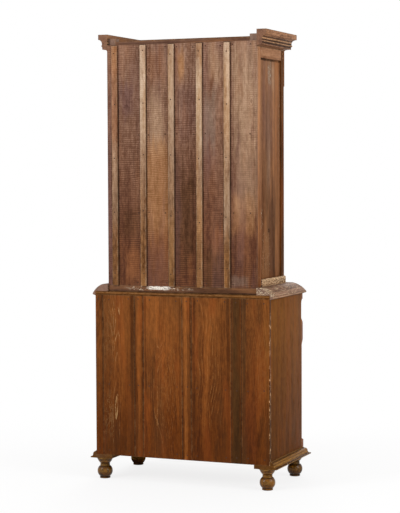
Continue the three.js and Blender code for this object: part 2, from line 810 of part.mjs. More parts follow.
// A box lock on the inner face of the right door, with its bolt, its key and the keep opposite
function addLock(stage, place, z) {
  const back = place.front - doorThickness;
  const lockLeft = doorSideGap + lockEdgeInset;
  const lockRight = lockLeft + lockWidth;
  const keyX = lockLeft + lockWidth / 2;
  const caseBack = back - lockThickness;
  const boltNear = caseBack + lockSkin;
  const boltFar = boltNear + boltThickness;
  const boltZ = z + boltOffset;
  const boltX = lockLeft + lockEdgeInset;

  const channel = blockSolid(lockLeft - cutOverrun, boltX + boltLength + boltSlack,
    boltNear - boltSlack, boltFar + boltSlack,
    boltZ - boltHeight / 2 - boltSlack, boltZ + boltHeight / 2 + boltSlack);
  const keySeat = toSolid(crossRod(keyRadius + keyClearance, keyX, z, back - keySeatDepth - slack,
    back + cutOverrun, keySides));
  const lockCase = blockSolid(lockLeft, lockRight, caseBack, back, z - lockHeight / 2, z + lockHeight / 2);
  addPiece(`${stage}_lock_case`, lockCase.subtract(joined([channel, keySeat])), finishes.iron);

  addPiece(`${stage}_lock_bolt`, block(boltX, boltX + boltLength, boltNear, boltFar,
    boltZ - boltHeight / 2, boltZ + boltHeight / 2), finishes.brass);

  const keepWidth = boltThrow + keepReach;
  const keepRight = -doorSideGap - keepGap;
  const slotHalf = boltHeight / 2 + keepPlay;
  const keepOuter = blockSolid(keepRight - keepWidth, keepRight,
    boltNear - keepPlay - keepBridge, back, boltZ - slotHalf - keepWall, boltZ + slotHalf + keepWall);
  const keepSlot = blockSolid(keepRight - keepWidth - cutOverrun, keepRight + cutOverrun,
    boltNear - keepPlay, back + cutOverrun, boltZ - slotHalf, boltZ + slotHalf);
  addPiece(`${stage}_lock_keep`, keepOuter.subtract(keepSlot), finishes.iron);

  addPiece(`${stage}_key`, keySolid(keyX, z, back, place.front), finishes.iron);
  return keyX;
}

function keySolid(x, z, back, front) {
  const shank = toSolid(crossRod(keyRadius, x, z, back - keySeatDepth, front + keyShankProud,
    keySides));
  const collar = toSolid(crossRod(keyCollarRadius, x, z, front + keyShankProud - keyCollarLength,
    front + keyShankProud, keySides));
  const ring = new THREE.Shape();
  ring.absarc(0, 0, keyBowOuter, 0, Math.PI * 2, false);
  const eye = new THREE.Path();
  eye.absarc(0, 0, keyBowInner, 0, Math.PI * 2, true);
  ring.holes.push(eye);
  const bow = new THREE.ExtrudeGeometry(ring, {
    depth: keyBowThickness, bevelEnabled: false, curveSegments: keySides,
  });
  bow.translate(0, 0, -keyBowThickness / 2);
  bow.rotateY(Math.PI / 2);
  bow.translate(x, atDepth(front + keyShankProud + keyBowOuter - keyRadius / 2), z);
  return joined([shank, collar, toSolid(bow)]);
}

function addDoorPair(stage, sizes) {
  const { pivotX, pivotDepth, z0, z1, front, lockShare } = sizes;
  const lockZ = z0 + lockShare * (z1 - z0);
  for (const [side, sign] of [['left', -1], ['right', 1]]) {
    const place = { sign, pivotX, pivotDepth, z0, z1, front };
    let frame = doorFrame(place);
    if (sign === 1) {
      const keyX = addLock(stage, place, lockZ);
      const keyhole = toSolid(crossRod(keyRadius + keyClearance, keyX, lockZ,
        front - doorThickness - cutOverrun, front + cutOverrun, keySides));
      frame = frame.subtract(keyhole);
    }
    addPiece(`${stage}_door_frame_${side}`, frame, finishes.varnishedTeak);
    addPiece(`${stage}_door_panel_${side}`, doorPanel(place), finishes.varnishedTeak);
  }
}

function addDoors() {
  addDoorPair('upper', {
    pivotX: upperPivotX(),
    pivotDepth: upperPivotDepth(),
    z0: stripTop + doorEndGap,
    z1: upperHeadBottom - doorEndGap,
    front: upperDepth,
    lockShare: upperLockShare,
  });
  addDoorPair('lower', {
    pivotX: lowerPivotX(),
    pivotDepth: lowerPivotDepth(),
    z0: lowerFloor + doorEndGap,
    z1: lowerHeadBottom - doorEndGap,
    front: lowerDepth,
    lockShare: lowerLockShare,
  });
}

addFeet();
addBaseMoulding();
addLowerCase();
addLowerBack();
addLowerFrontFrame();
addPilasters();
addWaistMoulding();
addUpperBoards();
addUpperSides();
addUpperBack();
addFrieze();
addBaseStrip();
addCornice();
addDoors();

export default cupboard;
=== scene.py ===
"""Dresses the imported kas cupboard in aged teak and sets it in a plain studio.

Everything is in metres, in the part's own frame. The doors face -Y and left is -X, so the
picture, which is taken from behind, shows the left side at its right edge.
"""

from __future__ import annotations

import logging
import math
import random
from contextlib import contextmanager
from dataclasses import dataclass, replace
from enum import Enum, StrEnum
from typing import Callable, ClassVar, Iterator, Sequence

import bmesh
import bpy
from mathutils import Euler, Matrix, Vector

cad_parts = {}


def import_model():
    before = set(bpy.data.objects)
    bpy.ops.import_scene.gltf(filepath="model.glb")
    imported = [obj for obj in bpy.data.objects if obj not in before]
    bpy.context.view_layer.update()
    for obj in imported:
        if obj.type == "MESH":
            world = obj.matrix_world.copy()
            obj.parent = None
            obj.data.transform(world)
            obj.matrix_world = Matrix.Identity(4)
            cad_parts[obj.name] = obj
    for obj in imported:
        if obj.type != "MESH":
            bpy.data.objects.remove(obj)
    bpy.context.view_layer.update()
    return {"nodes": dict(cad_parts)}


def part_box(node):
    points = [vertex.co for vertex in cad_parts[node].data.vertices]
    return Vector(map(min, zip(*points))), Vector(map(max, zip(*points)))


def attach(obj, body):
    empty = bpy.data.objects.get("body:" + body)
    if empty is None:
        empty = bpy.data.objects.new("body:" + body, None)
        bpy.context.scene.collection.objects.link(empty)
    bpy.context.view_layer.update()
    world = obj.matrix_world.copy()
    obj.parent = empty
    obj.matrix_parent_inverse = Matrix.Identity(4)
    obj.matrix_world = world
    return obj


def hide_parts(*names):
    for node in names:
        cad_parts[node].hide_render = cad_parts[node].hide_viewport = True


LOG = logging.getLogger("kas_cupboard")
Point = tuple[float, float, float]
Bands = tuple[tuple[float, float], ...]

MERGE_DISTANCE = 1e-5
FLAT_ANGLE = math.radians(0.4)
SHARP_ANGLE = math.radians(32)
SMOOTH_ANGLE = math.radians(27)
SAWN_FACE = 0.245
PLANED_FACE = 0.2545
ENDLESS = 3.0
WHITE = (1.0, 1.0, 1.0, 1.0)


class Grain(Enum):
    """The direction of a piece's grain, as the turn that brings it upright."""

    ACROSS = (0.0, -math.pi / 2, 0.0)
    DEEP = (math.pi / 2, 0.0, 0.0)
    UPRIGHT = (0.0, 0.0, 0.0)


class Side(Enum):
    """The two sides of the cupboard, by the sign of their X."""

    LEFT = -1
    RIGHT = 1

    @property
    def word(self) -> str:
        """The side's word in the names of pieces."""
        return self.name.lower()


class Stage(StrEnum):
    """The two cases, by their word in the names of pieces."""

    UPPER = "upper"
    LOWER = "lower"


class Row(StrEnum):
    """The two rows of feet, by their word in the names of pieces."""

    BACK = "back"
    FRONT = "front"


class Facing(Enum):
    """The way that a small piece's outer end faces, as the turn that brings it there from Z."""

    UP = (0.0, 0.0, 0.0)
    BACK = (-math.pi / 2, 0.0, 0.0)
    FRONT = (math.pi / 2, 0.0, 0.0)
    LEFT = (0.0, -math.pi / 2, 0.0)
    RIGHT = (0.0, math.pi / 2, 0.0)


def colour(code: str) -> tuple[float, ...]:
    """Turns a colour written as six sRGB digits into the linear one that a shader reads."""
    channels = [int(code[i:i + 2], 16) / 255 for i in (0, 2, 4)]
    return (*(c / 12.92 if c <= 0.04045 else ((c + 0.055) / 1.055) ** 2.4 for c in channels), 1.0)


def sign(operation: str, swapped: bool = False) -> Callable[[Signal, object], Signal]:
    """Makes the method behind an arithmetic sign.

    Args:
        operation: The node's operation.
        swapped: Puts the signal second.

    Returns:
        The method.
    """
    def method(signal: Signal, other: object) -> Signal:
        """Adds the node, for numbers or for vectors, and gives its result."""
        call = signal.graph.math if signal.socket.type == "VALUE" else signal.graph.vector
        return call(operation, *((other, signal) if swapped else (signal, other)))
    return method


@dataclass(frozen=True)
class Signal:
    """An output of a shader node, on which the arithmetic signs work.

    Attributes:
        graph: The tree that it is in.
        socket: The output itself.
    """

    graph: Graph
    socket: bpy.types.NodeSocket

    __add__ = sign("ADD")
    __sub__ = sign("SUBTRACT")
    __rsub__ = sign("SUBTRACT", True)
    __mul__ = sign("MULTIPLY")
    __truediv__ = sign("DIVIDE")


Signals = dict[str, Signal]


class Graph:
    """A shader tree with short calls that add a node and join it to the others."""

    def __init__(self, owner: bpy.types.ID) -> None:
        """Opens a node group, or the emptied tree of a material or world.

        Args:
            owner: The group, material or world.
        """
        self.tree = owner
        if not isinstance(owner, bpy.types.NodeTree):
            owner.use_nodes = True
            self.tree = owner.node_tree
            self.tree.nodes.clear()

    def add(self, kind: str, *terms: object, inputs: dict[str | int, object] | None = None,
            **settings: object) -> bpy.types.Node:
        """Adds a node.

        Args:
            kind: The node's type.
            terms: Values or outputs for its first inputs.
            inputs: Values or outputs for inputs by name or number.
            settings: Properties to set on it.

        Returns:
            The new node.
        """
        node = self.tree.nodes.new(kind)
        for name, value in settings.items():
            setattr(node, name, value)
        named = [(node.inputs[key], value) for key, value in (inputs or {}).items()]
        for socket, value in (*zip(node.inputs, terms), *named):
            value = getattr(value, "socket", value)
            if isinstance(value, bpy.types.NodeSocket):
                self.tree.links.new(value, socket)
            else:
                socket.default_value = value
        return node

    def signals(self, node: bpy.types.Node) -> Signals:
        """Gives a node's outputs by name."""
        return {socket.name: Signal(self, socket) for socket in node.outputs}

    def math(self, operation: str, *terms: object, clamp: bool = False) -> Signal:
        """Adds a Math node and gives its result, which clamp keeps between 0 and 1."""
        node = self.add("ShaderNodeMath", *terms, operation=operation, use_clamp=clamp)
        return Signal(self, node.outputs[0])

    def vector(self, operation: str, *terms: object) -> Signal:
        """Adds a Vector Math node and gives its vector, or the length as a number."""
        node = self.add("ShaderNodeVectorMath", *terms, operation=operation)
        return Signal(self, node.outputs[operation == "LENGTH"])

    def split(self, vector: object) -> list[Signal]:
        """Gives the X, Y and Z of a vector."""
        return [Signal(self, part) for part in self.add("ShaderNodeSeparateXYZ", vector).outputs]

    def blend(self, share: object, first: object, second: object, kind: str = "MIX") -> Signal:
        """Blends a share of a second colour into a first one.

        Args:
            share: How much of the second colour shows.
            first: The colour below.
            second: The colour above.
            kind: The way that they blend.

        Returns:
            The colour.
        """
        node = self.add("ShaderNodeMix", inputs={0: share, 6: first, 7: second},
                        data_type="RGBA", blend_type=kind)
        return Signal(self, node.outputs[2])

    def spread(self, value: object, low: object, high: object, start: float = 0.0,
               end: float = 1.0) -> Signal:
        """Maps a value smoothly from one range to another and holds it between the ends.

        Args:
            value: The value.
            low: What becomes the start.
            high: What becomes the end.
            start: The result at low.
            end: The result at high.

        Returns:
            The result.
        """
        node = self.add("ShaderNodeMapRange", value, low, high, start, end,
                        interpolation_type="SMOOTHSTEP")
        return Signal(self, node.outputs[0])

    def noise(self, place: Signal, stretch: Point, detail: float = 2.0, rough: float = 0.5,
              colourful: bool = False) -> Signal:
        """Adds noise at a scale of its own along each axis.

        Args:
            place: The point that the noise is read at.
            stretch: Cycles for each metre along X, Y and Z.
            detail: The noise's octaves.
            rough: The share of the finer octaves.
            colourful: Gives three channels instead of one.

        Returns:
            The noise.
        """
        node = self.add("ShaderNodeTexNoise", inputs={
            "Vector": place * stretch, "Scale": 1.0, "Detail": detail, "Roughness": rough})
        return Signal(self, node.outputs[colourful])

    def place(self, tree: bpy.types.NodeTree, **values: object) -> Signals:
        """Places a node group, feeds its inputs by name and gives its outputs by name."""
        return self.signals(self.add("ShaderNodeGroup", node_tree=tree, inputs=values))

    def surface(self, relief: Signal, strength: float, depth: float,
                inputs: dict[str, object]) -> None:
        """Ends a material with its Principled shader over a bump.

        Args:
            relief: The bump's height.
            strength: The bump's strength.
            depth: The bump's reach, in metres.
            inputs: What goes into the shader, by name.
        """
        bump = self.add("ShaderNodeBump",
                        inputs={"Strength": strength, "Distance": depth, "Height": relief})
        shader = self.add("ShaderNodeBsdfPrincipled", inputs={**inputs, "Normal": bump.outputs[0]})
        self.add("ShaderNodeOutputMaterial", shader.outputs[0])


def make_group(build: Callable[[Graph, Signals], Signals], vectors: str,
               numbers: str) -> bpy.types.NodeTree:
    """Makes a shader node group whose outputs are numbers.

    Args:
        build: Adds the nodes between the inputs and the outputs.
        vectors: The names of the inputs that are vectors, with spaces between.
        numbers: The names of the inputs that are numbers.

    Returns:
        The group.
    """
    tree = bpy.data.node_groups.new(build.__name__, "ShaderNodeTree")
    for names, kind in ((vectors, "Vector"), (numbers, "Float")):
        for name in names.split():
            tree.interface.new_socket(name=name, in_out="INPUT", socket_type=f"NodeSocket{kind}")
    graph = Graph(tree)
    results = build(graph, graph.signals(graph.add("NodeGroupInput")))
    for name in results:
        tree.interface.new_socket(name=name, in_out="OUTPUT", socket_type="NodeSocketFloat")
    graph.add("NodeGroupOutput", *results.values())
    return tree


class TimberEffects:
    """The node groups that the timber materials share, each built from inputs by name."""

    def __init__(self) -> None:
        """Builds each group once."""
        self.figure = make_group(self._figure, "along", "ring_width waviness")
        self.saw_marks = make_group(self._saw_marks, "along", "pitch regularity")
        self.patches = make_group(self._patches, "along place", "foot head")
        self.edges = make_group(self._edges, "place low high", "reach")
        self.knot = make_group(self._knot, "place centre", "radius")
        self.blush = make_group(self._blush, "place along centre reach", "softness")

    @staticmethod
    def _figure(graph: Graph, given: Signals) -> Signals:
        """Gives the growth rings, streaks, fibre, pores and mottle of a board along Z.

        Args:
            graph: The group's tree.
            given: Its inputs by name.

        Returns:
            Its outputs by name.
        """
        along = given["along"]
        drift = graph.noise(along, (2.6, 2.6, 1.1), 2.0, colourful=True)
        bent = along + (drift - (0.5, 0.5, 0.5)) * (1.0, 1.0, 0.0) * given["waviness"]
        radius = graph.vector("LENGTH", bent * (1.0, 1.0, 0.0))
        ragged = graph.noise(along, (34.0, 34.0, 2.4), 3.0, 0.6)
        part = graph.math("FRACT", radius / given["ring_width"] + ragged)
        return {
            "rings": graph.math("POWER", part, 2.2) * graph.spread(part, 0.0, 0.16),
            "streaks": graph.spread(graph.noise(bent, (26.0, 26.0, 0.8), 3.0, 0.6), 0.3, 0.7),
            "fibre": graph.spread(graph.noise(along, (330.0, 330.0, 7.0), 2.0, 0.6), 0.25, 0.75),
            "pores": graph.spread(graph.noise(along, (620.0, 620.0, 20.0), 1.0), 0.6, 0.74),
            "mottle": graph.spread(graph.noise(along, (75.0, 75.0, 28.0), 4.0, 0.75),
                                   0.32, 0.68, -0.5, 0.5),
        }

    @staticmethod
    def _saw_marks(graph: Graph, given: Signals) -> Signals:
        """Gives saw marks across a board, regular in some places and ragged in others.

        Args:
            graph: The group's tree.
            given: Its inputs by name.

        Returns:
            Its outputs by name.
        """
        along = given["along"]
        x, _, z = graph.split(along)
        turns = (z + x * 0.03) / given["pitch"] + graph.noise(along, (3.0, 3.0, 5.0), 1.0) * 4.0
        wave = graph.spread(graph.math("SINE", turns * (2 * math.pi)), 0.0, 0.9)
        even = graph.spread(graph.noise(along, (9.0, 9.0, 3.2), 3.0, 0.6), 0.3, 0.54)
        ragged = graph.spread(graph.noise(along, (14.0, 14.0, 130.0), 4.0, 0.75), 0.5, 0.68)
        broken = graph.spread(graph.noise(along, (45.0, 45.0, 30.0)), 0.35, 0.6)
        return {"marks": graph.math("MAXIMUM", wave * even * given["regularity"],
                                    ragged * broken)}

    @staticmethod
    def _patches(graph: Graph, given: Signals) -> Signals:
        """Gives warm, cool and dirty patches, and the height between the foot and the head.

        Args:
            graph: The group's tree.
            given: Its inputs by name.

        Returns:
            Its outputs by name.
        """
        along = given["along"]
        shifted = along + (3.7, 1.3, 8.1)
        sway = (graph.noise(along, (8.0, 8.0, 1.0)) - 0.5) * 0.5
        level = graph.spread(graph.split(given["place"])[2], given["foot"], given["head"])
        return {
            "warm": graph.spread(graph.noise(along, (15.0, 15.0, 2.0), 3.0, 0.6), 0.48, 0.66),
            "cool": graph.spread(graph.noise(shifted, (12.0, 12.0, 1.5), 3.0, 0.6), 0.47, 0.66),
            "dirt": graph.spread(graph.noise(shifted, (24.0, 24.0, 10.0), 4.0, 0.65), 0.5, 0.72),
            "height": graph.math("ADD", level, sway, clamp=True),
        }

    @staticmethod
    def _edges(graph: Graph, given: Signals) -> Signals:
        """Gives wear and a dark seam near the edges of a piece's box, broken up as wear is.

        Args:
            graph: The group's tree.
            given: Its inputs by name.

        Returns:
            Its outputs by name.
        """
        place = given["place"]
        gaps = zip(graph.split(place - given["low"]), graph.split(given["high"] - place))
        near = [graph.math("MINIMUM", *pair) for pair in gaps]
        lesser, larger = (graph.math(kind, *near[:2]) for kind in ("MINIMUM", "MAXIMUM"))
        edge = graph.math("MAXIMUM", lesser, graph.math("MINIMUM", larger, near[2]))
        chips = graph.spread(graph.noise(place, (38.0, 38.0, 38.0), 4.0, 0.7),
                             0.35, 0.75, 0.15, 1.6)
        return {"wear": graph.spread(edge, 0.0, given["reach"] * chips, 1.0, 0.0),
                "seam": graph.spread(edge, 0.0, 0.006, 1.0, 0.0)}

    @staticmethod
    def _knot(graph: Graph, given: Signals) -> Signals:
        """Gives the dark core of a knot and the rings round it.

        Args:
            graph: The group's tree.
            given: Its inputs by name.

        Returns:
            Its outputs by name.
        """
        place = given["place"]
        apart = graph.vector("LENGTH", (place - given["centre"]) * (1.0, 0.15, 0.55))
        radius = apart / given["radius"] + graph.noise(place, (70.0, 70.0, 70.0)) * 0.5
        rings = graph.spread(graph.math("SINE", radius * 9.0), 0.0, 1.0)
        return {"core": graph.spread(radius, 0.55, 1.0, 1.0, 0.0),
                "halo": rings * graph.spread(radius, 0.9, 2.6, 1.0, 0.0)}

    @staticmethod
    def _blush(graph: Graph, given: Signals) -> Signals:
        """Gives an area with a ragged border, where the timber has another tone.

        Args:
            graph: The group's tree.
            given: Its inputs by name.

        Returns:
            Its outputs by name.
        """
        softness = given["softness"]
        apart = (given["place"] - given["centre"]) / given["reach"]
        away = graph.math("SQRT", graph.vector("LENGTH", apart * apart))
        ragged = graph.noise(given["along"], (42.0, 42.0, 6.0), 4.0, 0.65)
        away = (ragged - 0.5) * softness * 2.4 + away
        return {"mask": graph.spread(away, 1.0 - softness, 1.0, 1.0, 0.0)}


@dataclass(frozen=True)
class TimberFinish:
    """How one kind of timber surface looks: its colours, marks and sheen.

    The head colours are those near the top of a stage and the foot colours those near its
    floor, each with a light and a dark tone that the grain moves between. Widths, pitches,
    reaches and levels are in metres, and the rest are shares. Rings with a share below 0 are
    light ones on a dark ground. The worn colour shows on worn edges, and on the ridges of
    mouldings and feet it is painted highlight as well as wear.
    """

    slot: str
    head_light: str
    head_dark: str
    foot_light: str
    foot_dark: str
    warm: str
    cool: str
    worn: str
    end: str = "5c4030"
    end_share: float = 0.3
    foot_level: float = 0.94
    head_level: float = 2.16
    rings: float = 0.3
    streaks: float = 0.5
    fibre: float = 0.2
    pores: float = 0.3
    mottle: float = 0.3
    ring_width: float = 0.011
    waviness: float = 0.05
    warm_share: float = 0.35
    cool_share: float = 0.35
    saw: float = 0.0
    saw_pitch: float = 0.0095
    regularity: float = 0.9
    wear: float = 0.5
    wear_reach: float = 0.006
    seam: float = 0.35
    dirt: float = 0.3
    roughness: float = 0.62
    sheen: float = 0.15
    coat: float = 0.0
    relief: float = 0.5


@dataclass(frozen=True)
class Knot:
    """A knot's place on a piece and its radius, in metres."""

    centre: Point
    radius: float


@dataclass(frozen=True)
class Tone:
    """The light and dark colours that the grain moves between inside a blush."""

    light: str
    dark: str


@dataclass(frozen=True)
class Blush:
    """An area of another tone: its middle and half sizes in metres, and its strength."""

    centre: Point
    reach: Point
    tone: Tone
    strength: float = 0.8
    softness: float = 0.6


@dataclass(frozen=True)
class Paint:
    """Flaked remnants of old paint: where they are, their colour and how much is left.

    Those in the grain fill only the open rings of the timber.
    """

    centre: Point
    reach: Point
    colour: str = "f2ebe0"
    cover: float = 0.5
    fineness: Point = (75.0, 75.0, 210.0)
    in_grain: bool = False


@dataclass(frozen=True)
class Marks:
    """What time has left on one piece.

    Attributes:
        brightness: How light the piece is beside the others of its finish.
        knots: Knots on it.
        blushes: Areas of another tone.
        paints: Remnants of old paint.
        bands: Levels, in metres, with how worn and lit by painted highlight (up to 1) or how dirty
            and darkened by painted shade (down to -1) each is.
        pith: The pith's place across the grain from the piece's middle, in metres.
    """

    brightness: float = 1.0
    knots: tuple[Knot, ...] = ()
    blushes: tuple[Blush, ...] = ()
    paints: tuple[Paint, ...] = ()
    bands: Bands = ()
    pith: tuple[float, float] | None = None


RUSSET = Tone("9c6640", "663c24")
TAN = Tone("bd8c62", "87592f")
PLUM = Tone("80605a", "4a302d")
UMBER = Tone("68452f", "35200f")
STRAW = Tone("c3a385", "937458")
SMOKE = Tone("978272", "675345")
GRIME = Tone("4a3020", "26160c")
PALE = Tone("dcc4aa", "a4805c")
DEEP = Tone("5e3212", "301606")
AMBER = Tone("a05c26", "643310")


class Palette:
    """The finishes of the cupboard's timber."""

    SAWN = TimberFinish(
        "sawn_board", "ac8a74", "5e3d2c", "7e5034", "44261a", "9c6642", "6c4e48", "b39478",
        rings=0.12, streaks=0.34, fibre=0.3, mottle=0.42, saw=1.0, wear=0.12, seam=0.4, dirt=0.35,
        warm_share=0.2, cool_share=0.36, roughness=0.88, sheen=0.08, relief=1.0)
    BATTEN = TimberFinish(
        "pale_batten", "d2b69c", "8c6448", "9a6a3e", "4c2c12", "b07f4c", "7e6450", "d8bfa2",
        rings=0.1, streaks=0.55, fibre=0.4, mottle=0.55, saw=0.3, wear=0.3, wear_reach=0.004,
        seam=0.25, dirt=0.7, roughness=0.82, sheen=0.1, relief=0.9)
    SIDE = TimberFinish(
        "old_teak", "ae8160", "6a432c", "7e4c2a", "422412", "b97c4c", "6c4e40", "b8895e",
        rings=0.15, streaks=0.6, fibre=0.3, wear=0.3, roughness=0.7, sheen=0.03, relief=0.4)
    LOWER_BACK = TimberFinish(
        "varnished_teak", "8c5223", "522b0e", "743c10", "431f09", "93491a", "50331a", "b07f50",
        foot_level=0.12, head_level=0.94, rings=-0.25, streaks=0.45, fibre=0.4, mottle=0.4,
        ring_width=0.006, waviness=0.16, wear=0.35, seam=0.6, warm_share=0.3, roughness=0.6,
        sheen=0.05, relief=0.35)
    LOWER_SIDE = replace(
        LOWER_BACK, head_light="805020", head_dark="5a3414", foot_light="683c14",
        foot_dark="44240c", rings=-0.12, streaks=0.3, warm_share=0.15, wear=0.6, sheen=0.03)
    MOULDING = TimberFinish(
        "moulding_teak", "a67f67", "46291a", "80572f", "321c0c", "946032", "746055", "c2a68a",
        end="84685c", end_share=0.55, rings=0.2, streaks=0.45, fibre=0.4, ring_width=0.007,
        mottle=0.5, wear=0.45, wear_reach=0.005, dirt=0.7, roughness=0.7, sheen=0.08,
        relief=0.9)
    BASE = replace(
        MOULDING, head_light="8c5c20", head_dark="3e2206", foot_light="8c5c20",
        foot_dark="3e2206", worn="c09450", end="543214", dirt=0.5, roughness=0.5, sheen=0.05)
    # The feet's gold worn colour is painted highlight as well as polish worn by use.
    TURNED = TimberFinish(
        "turned_teak", "74480e", "1a0d02", "74480e", "1a0d02", "8a540c", "301c06", "cc9a48",
        fibre=0.3, ring_width=0.004, mottle=0.9, wear=0.0, seam=0.0, dirt=0.6, roughness=0.3,
        sheen=0.08, coat=0.2, relief=0.4)
    FRONT = replace(
        LOWER_BACK, head_light="8e5424", head_dark="502a10", foot_light="80481c",
        foot_dark="48240c", wear=0.4, seam=0.3, roughness=0.5, sheen=0.1, coat=0.03)
    INSIDE = TimberFinish(
        "inside_wood", "a67d56", "704c2c", "946a44", "5f3c20", "ab7a46", "7c6450", "b08f6a",
        rings=0.25, streaks=0.45, fibre=0.3, wear=0.25, seam=0.3, roughness=0.82, relief=0.6)
    PEG = replace(INSIDE, slot="turned_teak", end="7c5632", ring_width=0.0015, wear=0.0,
                  seam=0.0)


@dataclass(frozen=True)
class MetalFinish:
    """How one kind of metal looks: its two colours, its sheen and how tarnish dulls it."""

    slot: str
    name: str
    bright: str
    tarnish: str
    roughness: float
    crust: float


IRON = MetalFinish("iron", "forged", "5a5048", "3a2a20", 0.45, 0.7)
BRASS = MetalFinish("brass", "old", "b58e46", "6a5028", 0.3, 0.35)
RUST = MetalFinish("iron", "rusted", "5c4030", "36221a", 0.7, 1.0)


@dataclass
class TimberCoat:
    """The material of one piece of timber, laid on in layers.

    Attributes:
        effects: The shared node groups.
        piece: The piece, at the origin with its place in its mesh.
        finish: The kind of surface.
        grain: The direction of the grain.
        marks: What time has left on it.
        bump_depth: The reach of its relief, in metres.
        band_sway: How far the bands of a moulding wander up and down, in metres.
        halo_share: How strong the rings round a knot are.
        core_share: How dark a knot is.
        worn_share: How strong the worn ridges of a moulding are, with their painted highlight.
        grimy_share: How strong the grime and painted shade of its grooves are.
        uneven_sheen: How much fibre and dirt each roughen it.
    """

    effects: TimberEffects
    piece: bpy.types.Object
    finish: TimberFinish
    grain: Grain
    marks: Marks

    bump_depth: ClassVar[float] = 0.0006
    band_sway: ClassVar[float] = 0.004
    halo_share: ClassVar[float] = 0.4
    core_share: ClassVar[float] = 0.75
    worn_share: ClassVar[float] = 0.75
    grimy_share: ClassVar[float] = 0.8
    uneven_sheen: ClassVar[float] = 0.12

    def lay(self) -> None:
        """Lays every layer and gives the piece its material."""
        material = bpy.data.materials.new(f"{self.piece.name}_timber")
        self.graph = Graph(material)
        self.read_piece()
        self.grow()
        self.weather()
        self.wear()
        self.scatter_paint()
        finish = self.finish
        least = finish.roughness - self.uneven_sheen / 2
        rough = self.graph.math("ADD", self.figure["fibre"] * self.uneven_sheen + least,
                                self.patches["dirt"] * self.uneven_sheen, clamp=True)
        self.graph.surface(self.relief - self.pores * 0.5, finish.relief, self.bump_depth, {
            "Base Color": self.body, "Roughness": rough, "Coat Weight": finish.coat,
            "Coat Roughness": 0.15, "Specular IOR Level": finish.sheen})
        self.piece.data.materials.clear()
        self.piece.data.materials.append(material)

    def read_piece(self) -> None:
        """Finds the place on the piece, the place along its grain and its marks' groups."""
        graph, finish = self.graph, self.finish
        chance = random.Random(self.piece.name)
        corners = [Vector(corner) for corner in self.piece.bound_box]
        low, high = (Vector(most(c[i] for c in corners) for i in range(3)) for most in (min, max))
        random_pith = (chance.uniform(-0.07, 0.07), chance.uniform(0.03, 0.08))
        across, deep = self.marks.pith or random_pith
        turn = Euler(self.grain.value).to_matrix()
        shift = Vector((across, deep, chance.uniform(1.0, 40.0))) - turn @ ((low + high) / 2)
        coordinates = graph.signals(graph.add("ShaderNodeTexCoord"))
        self.place = coordinates["Object"]
        mapping = graph.add("ShaderNodeMapping", inputs={
            "Vector": self.place, "Location": shift, "Rotation": self.grain.value})
        self.along = Signal(graph, mapping.outputs[0])
        lengthwise = turn.inverted() @ Vector((0.0, 0.0, 1.0))
        facing = coordinates["Normal"] * [abs(part) for part in lengthwise]
        self.end_grain = graph.spread(graph.vector("LENGTH", facing), 0.6, 0.9)
        self.figure = graph.place(self.effects.figure, along=self.along,
                                  ring_width=finish.ring_width, waviness=finish.waviness)
        self.patches = graph.place(self.effects.patches, along=self.along, place=self.place,
                                   foot=finish.foot_level, head=finish.head_level)
        self.edges = graph.place(self.effects.edges, place=self.place, low=low, high=high,
                                 reach=finish.wear_reach)

    def area(self, centre: Point, reach: Point, softness: float) -> Signal:
        """Gives how much a point lies in an area with a ragged border."""
        return self.graph.place(self.effects.blush, place=self.place, along=self.along,
                                centre=centre, reach=reach, softness=softness)["mask"]

    def cover(self, share: object, tint: object, kind: str = "MIX") -> None:
        """Blends a colour, written or from the graph, over the colours so far."""
        tint = colour(tint) if isinstance(tint, str) else tint
        self.body = self.graph.blend(share, self.body, tint, kind)

    def grow(self) -> None:
        """Lays the timber's own colours, with its areas of another tone."""
        graph, finish, figure = self.graph, self.finish, self.figure
        rings = 1.0 - figure["rings"] if finish.rings > 0 else figure["rings"]
        lightness = figure["streaks"] * finish.streaks + figure["fibre"] * finish.fibre
        lightness = graph.math("ADD", lightness + rings * abs(finish.rings),
                               figure["mottle"] * finish.mottle, clamp=True)
        height = self.patches["height"]
        light = graph.blend(height, colour(finish.foot_light), colour(finish.head_light))
        dark = graph.blend(height, colour(finish.foot_dark), colour(finish.head_dark))
        for blush in self.marks.blushes:
            share = self.area(blush.centre, blush.reach, blush.softness) * blush.strength
            light = graph.blend(share, light, colour(blush.tone.light))
            dark = graph.blend(share, dark, colour(blush.tone.dark))
        self.light, self.dark = light, dark
        self.body = graph.blend(lightness, dark, light)
        self.cover(self.patches["warm"] * finish.warm_share, finish.warm)
        self.cover(self.patches["cool"] * finish.cool_share, finish.cool)
        self.shade = graph.blend(0.5, self.body, dark, "MULTIPLY")
        self.relief = lightness * 0.5

    def weather(self) -> None:
        """Lays the saw marks, the dirt, the pores and the knots."""
        graph, finish = self.graph, self.finish
        if finish.saw:
            saw = graph.place(self.effects.saw_marks, along=self.along, pitch=finish.saw_pitch,
                              regularity=finish.regularity)["marks"]
            self.cover(saw * finish.saw, self.dark)
            self.relief = self.relief - saw
        self.cover(self.patches["dirt"] * finish.dirt, self.shade)
        self.pores = self.figure["pores"] * finish.pores
        self.cover(self.pores, self.shade)
        for knot in self.marks.knots:
            found = graph.place(self.effects.knot, place=self.place, centre=knot.centre,
                                radius=knot.radius)
            self.cover(found["halo"] * self.halo_share, self.light)
            self.cover(found["core"] * self.core_share, self.shade)

